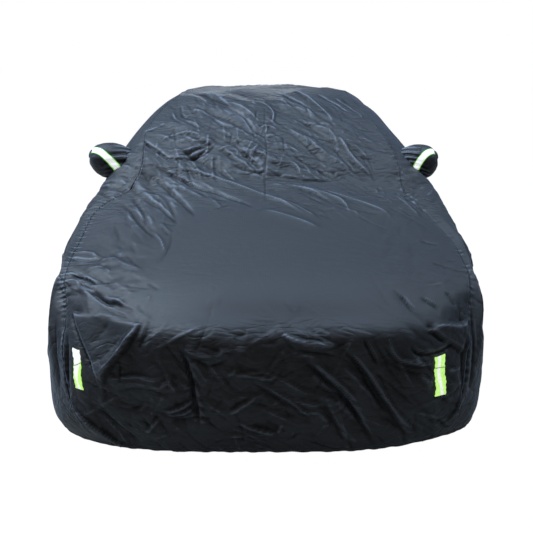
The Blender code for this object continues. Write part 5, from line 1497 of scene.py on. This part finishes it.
normals = {key: gridNormals(grid) for key, grid in base.items()}
for side in (-1, 1):
    # the normals of both panels are shared along the seam
    column = 0 if side < 0 else -1
    own = normals[side]
    centreEdge = normals[0][:, column].copy()
    downFront, top, downRear = seamRuns(side)
    first = int(top[0])
    centreEdge[first:first + len(top)] = unit(centreEdge[first:first + len(top)] + own[:, 0])
    normals[0][:, column] = centreEdge
    own[:, 0] = centreEdge[first:first + len(top)]
    own[0] = unit(onEdge(centreEdge, downFront) + own[0])
    own[-1] = unit(onEdge(centreEdge, downRear) + own[-1])

small = strewn()
heights, slacks = {}, {}
for key in base:
    heights[key], slacks[key] = clothHeight(base[key], normals[key], small)
print("folds and creases laid:", len(foldsAbove) + len(foldsFront) + len(foldsSide), "folds,",
      len(creasesAbove) + len(creasesFront), "creases,", len(small), "small creases")

seamLines = {-1: base[0][:, 0], 1: base[0][:, -1]}
seamGaps = {}
for key in base:
    gap = np.full(base[key].shape[:-1], 1.0)
    for side in ((-1, 1) if key == 0 else (key,)):
        distance, along = pointDistance(base[key], seamLines[side])
        gap = np.minimum(gap, distance)
        near = np.clip(1 - distance / seam["puckerRun"], 0, 1) ** 1.5
        onWing = (side < 0) * between(along, (0.55, 0.75)) * (1 - between(along, (1.5, 1.9)))
        wing = 1 + (seam["wingPucker"] - 1) * onWing
        heights[key] += near * wing * seam["puckerHeight"] * ripple(along, seam["puckerPitch"], 5 + side)
    seamGaps[key] = gap
hemGaps = {}
calm = (0.045, 0.88)     # the taut hem flattens the creases: how far up it reaches and by how much
for key in base:
    if key == 0:
        edges = [(0, base[0][0]), (1, base[0][-1])]
    else:
        edges = [(2 + key, base[key][:, -1])]
    gap = np.full(base[key].shape[:-1], 1.0)
    for seed, line in edges:
        distance, along = pointDistance(base[key], line)
        gap = np.minimum(gap, distance)
        near = np.clip(1 - distance / hem["gatherRun"], 0, 1) ** 1.3
        heights[key] *= 1 - calm[1] * np.exp(-(distance / calm[0]) ** 2)
        gathers = hem["gatherHeight"] * near * ripple(along, hem["gatherPitch"], 20 + seed)
        puff = hem["casingPuff"] * np.exp(-((distance - hem["casing"] / 2) / (hem["casing"] / 2)) ** 2)
        heights[key] += gathers + puff
    hemGaps[key] = gap
print("seams puckered and hem gathered")

outers = {0: base[0] + normals[0] * heights[0][..., None]}
for side in (-1, 1):
    grid = base[side] + normals[side] * heights[side][..., None]
    edge = outers[0][:, 0] if side < 0 else outers[0][:, -1]
    target = [onEdge(edge, runs) for runs in seamRuns(side)]
    moved = drawTo(grid.copy(), target, 6)
    base[side] = base[side] + (moved - grid)
    outers[side] = moved

panels = {}
names = {0: "centrePanel", -1: "sidePanelLeft", 1: "sidePanelRight"}
nodes = {0: "centre_panel", -1: "side_panel_left", 1: "side_panel_right"}
for key in (0, -1, 1):
    facts = {"slack": slacks[key], "seamGap": seamGaps[key], "hemGap": hemGaps[key],
             "paintedCreaseLight": paintedCreaseLightOf(base[key], normals[key], heights[key])}
    made, outer = closeSheet(names[key], base[key], normals[key], heights[key], facts)
    made.data.materials.append(clothMaterial)
    panels[key] = made
    print(names[key], "outer side", round(shellArea(outer), 3), "m2")

treeOf = {key: BVHTree.FromObject(panels[key], bpy.context.evaluated_depsgraph_get()) for key in panels}
tapes = {}
for side, word in ((-1, "Left"), (1, "Right")):
    rows, places, turns = pocketForm(side, treeOf[side])
    ways = ringNormals(rows)
    rise = pocketHeight(side, places, turns, rows)
    outer = rows + ways * rise[..., None]
    inner = rows + ways * (np.minimum(rise, 0) - cover["clothThickness"] - 0.001)[..., None]
    fromBase = np.abs(np.where(places < 0, places, places * 0.15))[:, None] + 0 * turns[None, :]
    pocket = ringSheet("mirrorPocket" + word, outer, inner,
                       {"slack": np.full(outer.shape[:2], 0.75), "seamGap": fromBase,
                        "hemGap": np.ones(outer.shape[:2]),
                        "paintedCreaseLight": paintedCreaseLightOf(rows, ways, rise)})
    pocket.data.materials.append(clothMaterial)
    panels["pocket" + word] = pocket
    stripe = pocketStripe("mirrorStripe" + word, outer, places, turns, ways)
    stripe.data.materials.append(stripeMaterial)
    strip = frontStrip("frontStrip" + word, side, treeOf[0])
    strip.data.materials.append(stripMaterial)
    tapes["stripe" + word], tapes["strip" + word] = stripe, strip
print("pockets and tapes made")


def insideLine(outer, normals, distance):
    # the line that runs this far inside the first column of a grid, and the way up at its points
    line, up = [], []
    for points, ways in zip(outer, normals):
        runs = runLengths(points)
        line.append([np.interp(distance, runs, points[:, k]) for k in range(3)])
        up.append([np.interp(distance, runs, ways[:, k]) for k in range(3)])
    return np.array(line), unit(np.array(up))


def stitchTree():
    # Geometry Nodes: lays one short thread after another along every line of the mesh
    tree = bpy.data.node_groups.new("sewnStitches", "GeometryNodeTree")
    tree.is_modifier = True
    tree.interface.new_socket("Lines", in_out="INPUT", socket_type="NodeSocketGeometry")
    for label, kind in (("Pitch", "NodeSocketFloat"), ("Length", "NodeSocketFloat"),
                        ("Radius", "NodeSocketFloat"), ("Unevenness", "NodeSocketFloat"),
                        ("Seed", "NodeSocketInt"), ("Thread", "NodeSocketMaterial")):
        tree.interface.new_socket(label, in_out="INPUT", socket_type=kind)
    tree.interface.new_socket("Stitches", in_out="OUTPUT", socket_type="NodeSocketGeometry")
    given = addNode(tree, "NodeGroupInput").outputs
    curves = addNode(tree, "GeometryNodeMeshToCurve", None, Mesh=given["Lines"])
    spaced = addNode(tree, "GeometryNodeResampleCurve", {"mode": "LENGTH"}, Curve=curves.outputs["Curve"],
                     Length=given["Pitch"])
    bead = addNode(tree, "GeometryNodeMeshUVSphere", {"Segments": 6, "Rings": 5, "Radius": 1.0})
    tangent = addNode(tree, "GeometryNodeInputTangent")
    wayUp = addNode(tree, "GeometryNodeInputNamedAttribute", {"data_type": "FLOAT_VECTOR", "Name": "wayUp"})
    along = addNode(tree, "FunctionNodeAlignRotationToVector", {"axis": "X"},
                    Vector=tangent.outputs["Tangent"])
    upright = addNode(tree, "FunctionNodeAlignRotationToVector", {"axis": "Z", "pivot_axis": "X"},
                      Rotation=along.outputs["Rotation"], Vector=wayUp.outputs["Attribute"])
    less = addMath(tree, "SUBTRACT", 1.0, given["Unevenness"])
    more = addMath(tree, "ADD", 1.0, given["Unevenness"])
    uneven = addNode(tree, "FunctionNodeRandomValue", {"data_type": "FLOAT"}, i2=less, i3=more,
                     Seed=given["Seed"])
    half = addMath(tree, "MULTIPLY", given["Length"], 0.5)
    size = addNode(tree, "ShaderNodeCombineXYZ", None, X=half, Y=given["Radius"], Z=given["Radius"])
    sized = addNode(tree, "ShaderNodeVectorMath", {"operation": "SCALE"}, Vector=size.outputs["Vector"],
                    Scale=uneven.outputs[1])
    laid = addNode(tree, "GeometryNodeInstanceOnPoints", None, Points=spaced.outputs["Curve"],
                   Instance=bead.outputs["Mesh"], Rotation=upright.outputs["Rotation"],
                   Scale=sized.outputs["Vector"])
    real = addNode(tree, "GeometryNodeRealizeInstances", None, Geometry=laid.outputs["Instances"])
    coated = addNode(tree, "GeometryNodeSetMaterial", None, Geometry=real.outputs["Geometry"],
                     Material=given["Thread"])
    addNode(tree, "NodeGroupOutput", None, Stitches=coated.outputs["Geometry"])
    return tree


def sewStitches(name, lines, tree):
    # a plain mesh of all stitches along the lines, each a pair of points and ways up
    points, ups, edges = [], [], []
    for line, up in lines:
        start = len(points)
        points += list(line - origin + up * stitches["rise"])
        ups += list(up)
        edges += [(start + k, start + k + 1) for k in range(len(line) - 1)]
    path = bpy.data.meshes.new(name + "Path")
    path.from_pydata([tuple(p) for p in points], edges, [])
    layer = path.attributes.new("wayUp", "FLOAT_VECTOR", "POINT")
    layer.data.foreach_set("vector", np.array(ups, dtype=np.float32).ravel())
    guide = linked(name + "Path", path)
    modifier = guide.modifiers.new("stitches", "NODES")
    modifier.node_group = tree
    identifiers = {item.name: item.identifier for item in tree.interface.items_tree}
    for label in ("Pitch", "Length", "Radius", "Unevenness", "Seed"):
        modifier[identifiers[label]] = stitches[label.lower()]
    modifier[identifiers["Thread"]] = threadMaterial
    depsgraph = bpy.context.evaluated_depsgraph_get()
    mesh = bpy.data.meshes.new_from_object(guide.evaluated_get(depsgraph))
    guide.modifiers.remove(modifier)
    bpy.data.objects.remove(guide)
    mesh.name = name
    mesh.shade_smooth()
    print("sewn", name, "with", trianglesOf(mesh), "triangles")
    return linked(name, mesh)


stitches = {
    "pitch": 0.0085,      # two to three times the real one, so that the stitches show
    "length": 0.0058,
    "radius": 0.0008,
    "unevenness": 0.14,
    "seed": 4,
    "rise": 0.0002,       # stands proud of the cloth, in m
    "seamOffset": 0.0065,
    "hemOffset": 0.020,
}
stitchLines = []
for side in (-1, 1):
    centre = (outers[0], normals[0]) if side < 0 else (outers[0][:, ::-1], normals[0][:, ::-1])
    stitchLines.append(insideLine(*centre, stitches["seamOffset"]))
    stitchLines.append(insideLine(outers[side], normals[side], stitches["seamOffset"]))
    stitchLines.append(insideLine(outers[side][:, ::-1], normals[side][:, ::-1], stitches["hemOffset"]))
for grid, ways in ((outers[0], normals[0]), (outers[0][::-1], normals[0][::-1])):
    stitchLines.append(insideLine(grid.transpose(1, 0, 2), ways.transpose(1, 0, 2), stitches["hemOffset"]))
seamStitches = sewStitches("seamStitches", stitchLines, stitchTree())

# stage, light and camera

studio = {
    "floor": "#a8a59e",
    "floorHalf": 45.0,
    "floorWhite": 0.86,       # how far the floor fades to white for the camera
    # name, place, aim, size, power, colour
    "lights": (
        ("overheadBox", (-0.2, 0.1, 3.4), (0.1, 0.1, -1.0), (2.0, 5.8), 150.0, (0.58, 0.77, 1.0)),
        ("leftSky", (-3.3, -0.9, 3.3), (-0.6, -1.2, -0.3), (1.2, 4.2), 265.0, (0.68, 0.82, 1.0)),
        ("rightSky", (3.6, -0.8, 3.4), (0.6, -1.3, -0.4), (1.2, 4.4), 85.0, (0.66, 0.82, 1.0)),
        ("roofGlance", (-0.35, 5.2, 1.1), (-0.35, 0.2, 0.0), (1.8, 0.8), 34.0, (0.86, 0.93, 1.0)),
        ("frontSky", (-1.0, -9.5, 6.5), (0.0, -2.4, -0.7), (13.0, 6.0), 104.0, (1.0, 0.93, 0.88)),
    ),
    "cameraPlace": (0.0, -4.45, 0.264),
    "cameraPitch": 19.5,
    "lens": 41.88,
}


def makeStage():
    floorMesh = bpy.data.meshes.new("floor")
    half, level = studio["floorHalf"], -origin[2]
    floorMesh.from_pydata([(-half, -half, level), (half, -half, level), (half, half, level),
                           (-half, half, level)], [], [(0, 1, 2, 3)])
    floor = linked("floor", floorMesh)
    # pale floor that runs into the white of the background, with a soft shadow left under the cover
    material, tree, shader = startMaterial("paleFloor")
    shader.inputs["Base Color"].default_value = linear(studio["floor"])
    shader.inputs["Roughness"].default_value = 0.9
    seen = addNode(tree, "ShaderNodeLightPath")
    share = addMath(tree, "MULTIPLY", seen.outputs["Is Camera Ray"], studio["floorWhite"])
    white = addNode(tree, "ShaderNodeEmission", {"Strength": 1.16})
    blend = addNode(tree, "ShaderNodeMixShader", None, i0=share, i1=shader.outputs["BSDF"],
                    i2=white.outputs["Emission"])
    tree.links.new(blend.outputs["Shader"], tree.nodes["Material Output"].inputs["Surface"])
    floorMesh.materials.append(material)
    world = bpy.data.worlds.new("studio")
    bpy.context.scene.world = world
    world.use_nodes = True
    tree = world.node_tree
    tree.nodes.clear()
    path = addNode(tree, "ShaderNodeLightPath")
    dim = addNode(tree, "ShaderNodeBackground", {"Strength": 0.04})
    dim.inputs["Color"].default_value = (0.85, 0.92, 1.0, 1.0)
    bright = addNode(tree, "ShaderNodeBackground", {"Strength": 1.0})
    bright.inputs["Color"].default_value = (1.0, 1.0, 1.0, 1.0)
    mix = addNode(tree, "ShaderNodeMixShader", None, i0=path.outputs["Is Camera Ray"],
                  i1=dim.outputs["Background"], i2=bright.outputs["Background"])
    addNode(tree, "ShaderNodeOutputWorld", None, Surface=mix.outputs["Shader"])


def areaLight(name, place, aim, size, power, colour):
    light = bpy.data.lights.new(name, "AREA")
    light.shape = "RECTANGLE"
    light.size, light.size_y = size
    light.energy = power
    light.color = colour
    made = linked(name, light)
    made.location = place
    made.rotation_euler = (Vector(aim) - Vector(place)).to_track_quat("-Z", "Y").to_euler()


makeStage()
for light in studio["lights"]:
    areaLight(*light)
cameraData = bpy.data.cameras.new("camera")
cameraData.lens = studio["lens"]
cameraData.sensor_width = 36.0
camera = linked("camera", cameraData)
camera.location = studio["cameraPlace"]
camera.rotation_euler = (math.radians(90 - studio["cameraPitch"]), 0.0, 0.0)
bpy.context.scene.camera = camera
bpy.context.scene.view_settings.view_transform = "Standard"

for key in (0, -1, 1):
    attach(panels[key], "root")
    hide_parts(nodes[key])
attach(seamStitches, "root")
for side, word in ((-1, "Left"), (1, "Right")):
    pocket = panels["pocket" + word]
    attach(pocket, "root")
    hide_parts("mirror_pocket_" + word.lower())
    for label, node, slot, flat in (("stripe", "mirror_stripe_", "mirror_tape", (0.045, 0.14)),
                                    ("strip", "front_strip_", "front_tape", (0.045, 0.17))):
        tape = tapes[label + word]
        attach(tape, "root")
        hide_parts(node + word.lower())
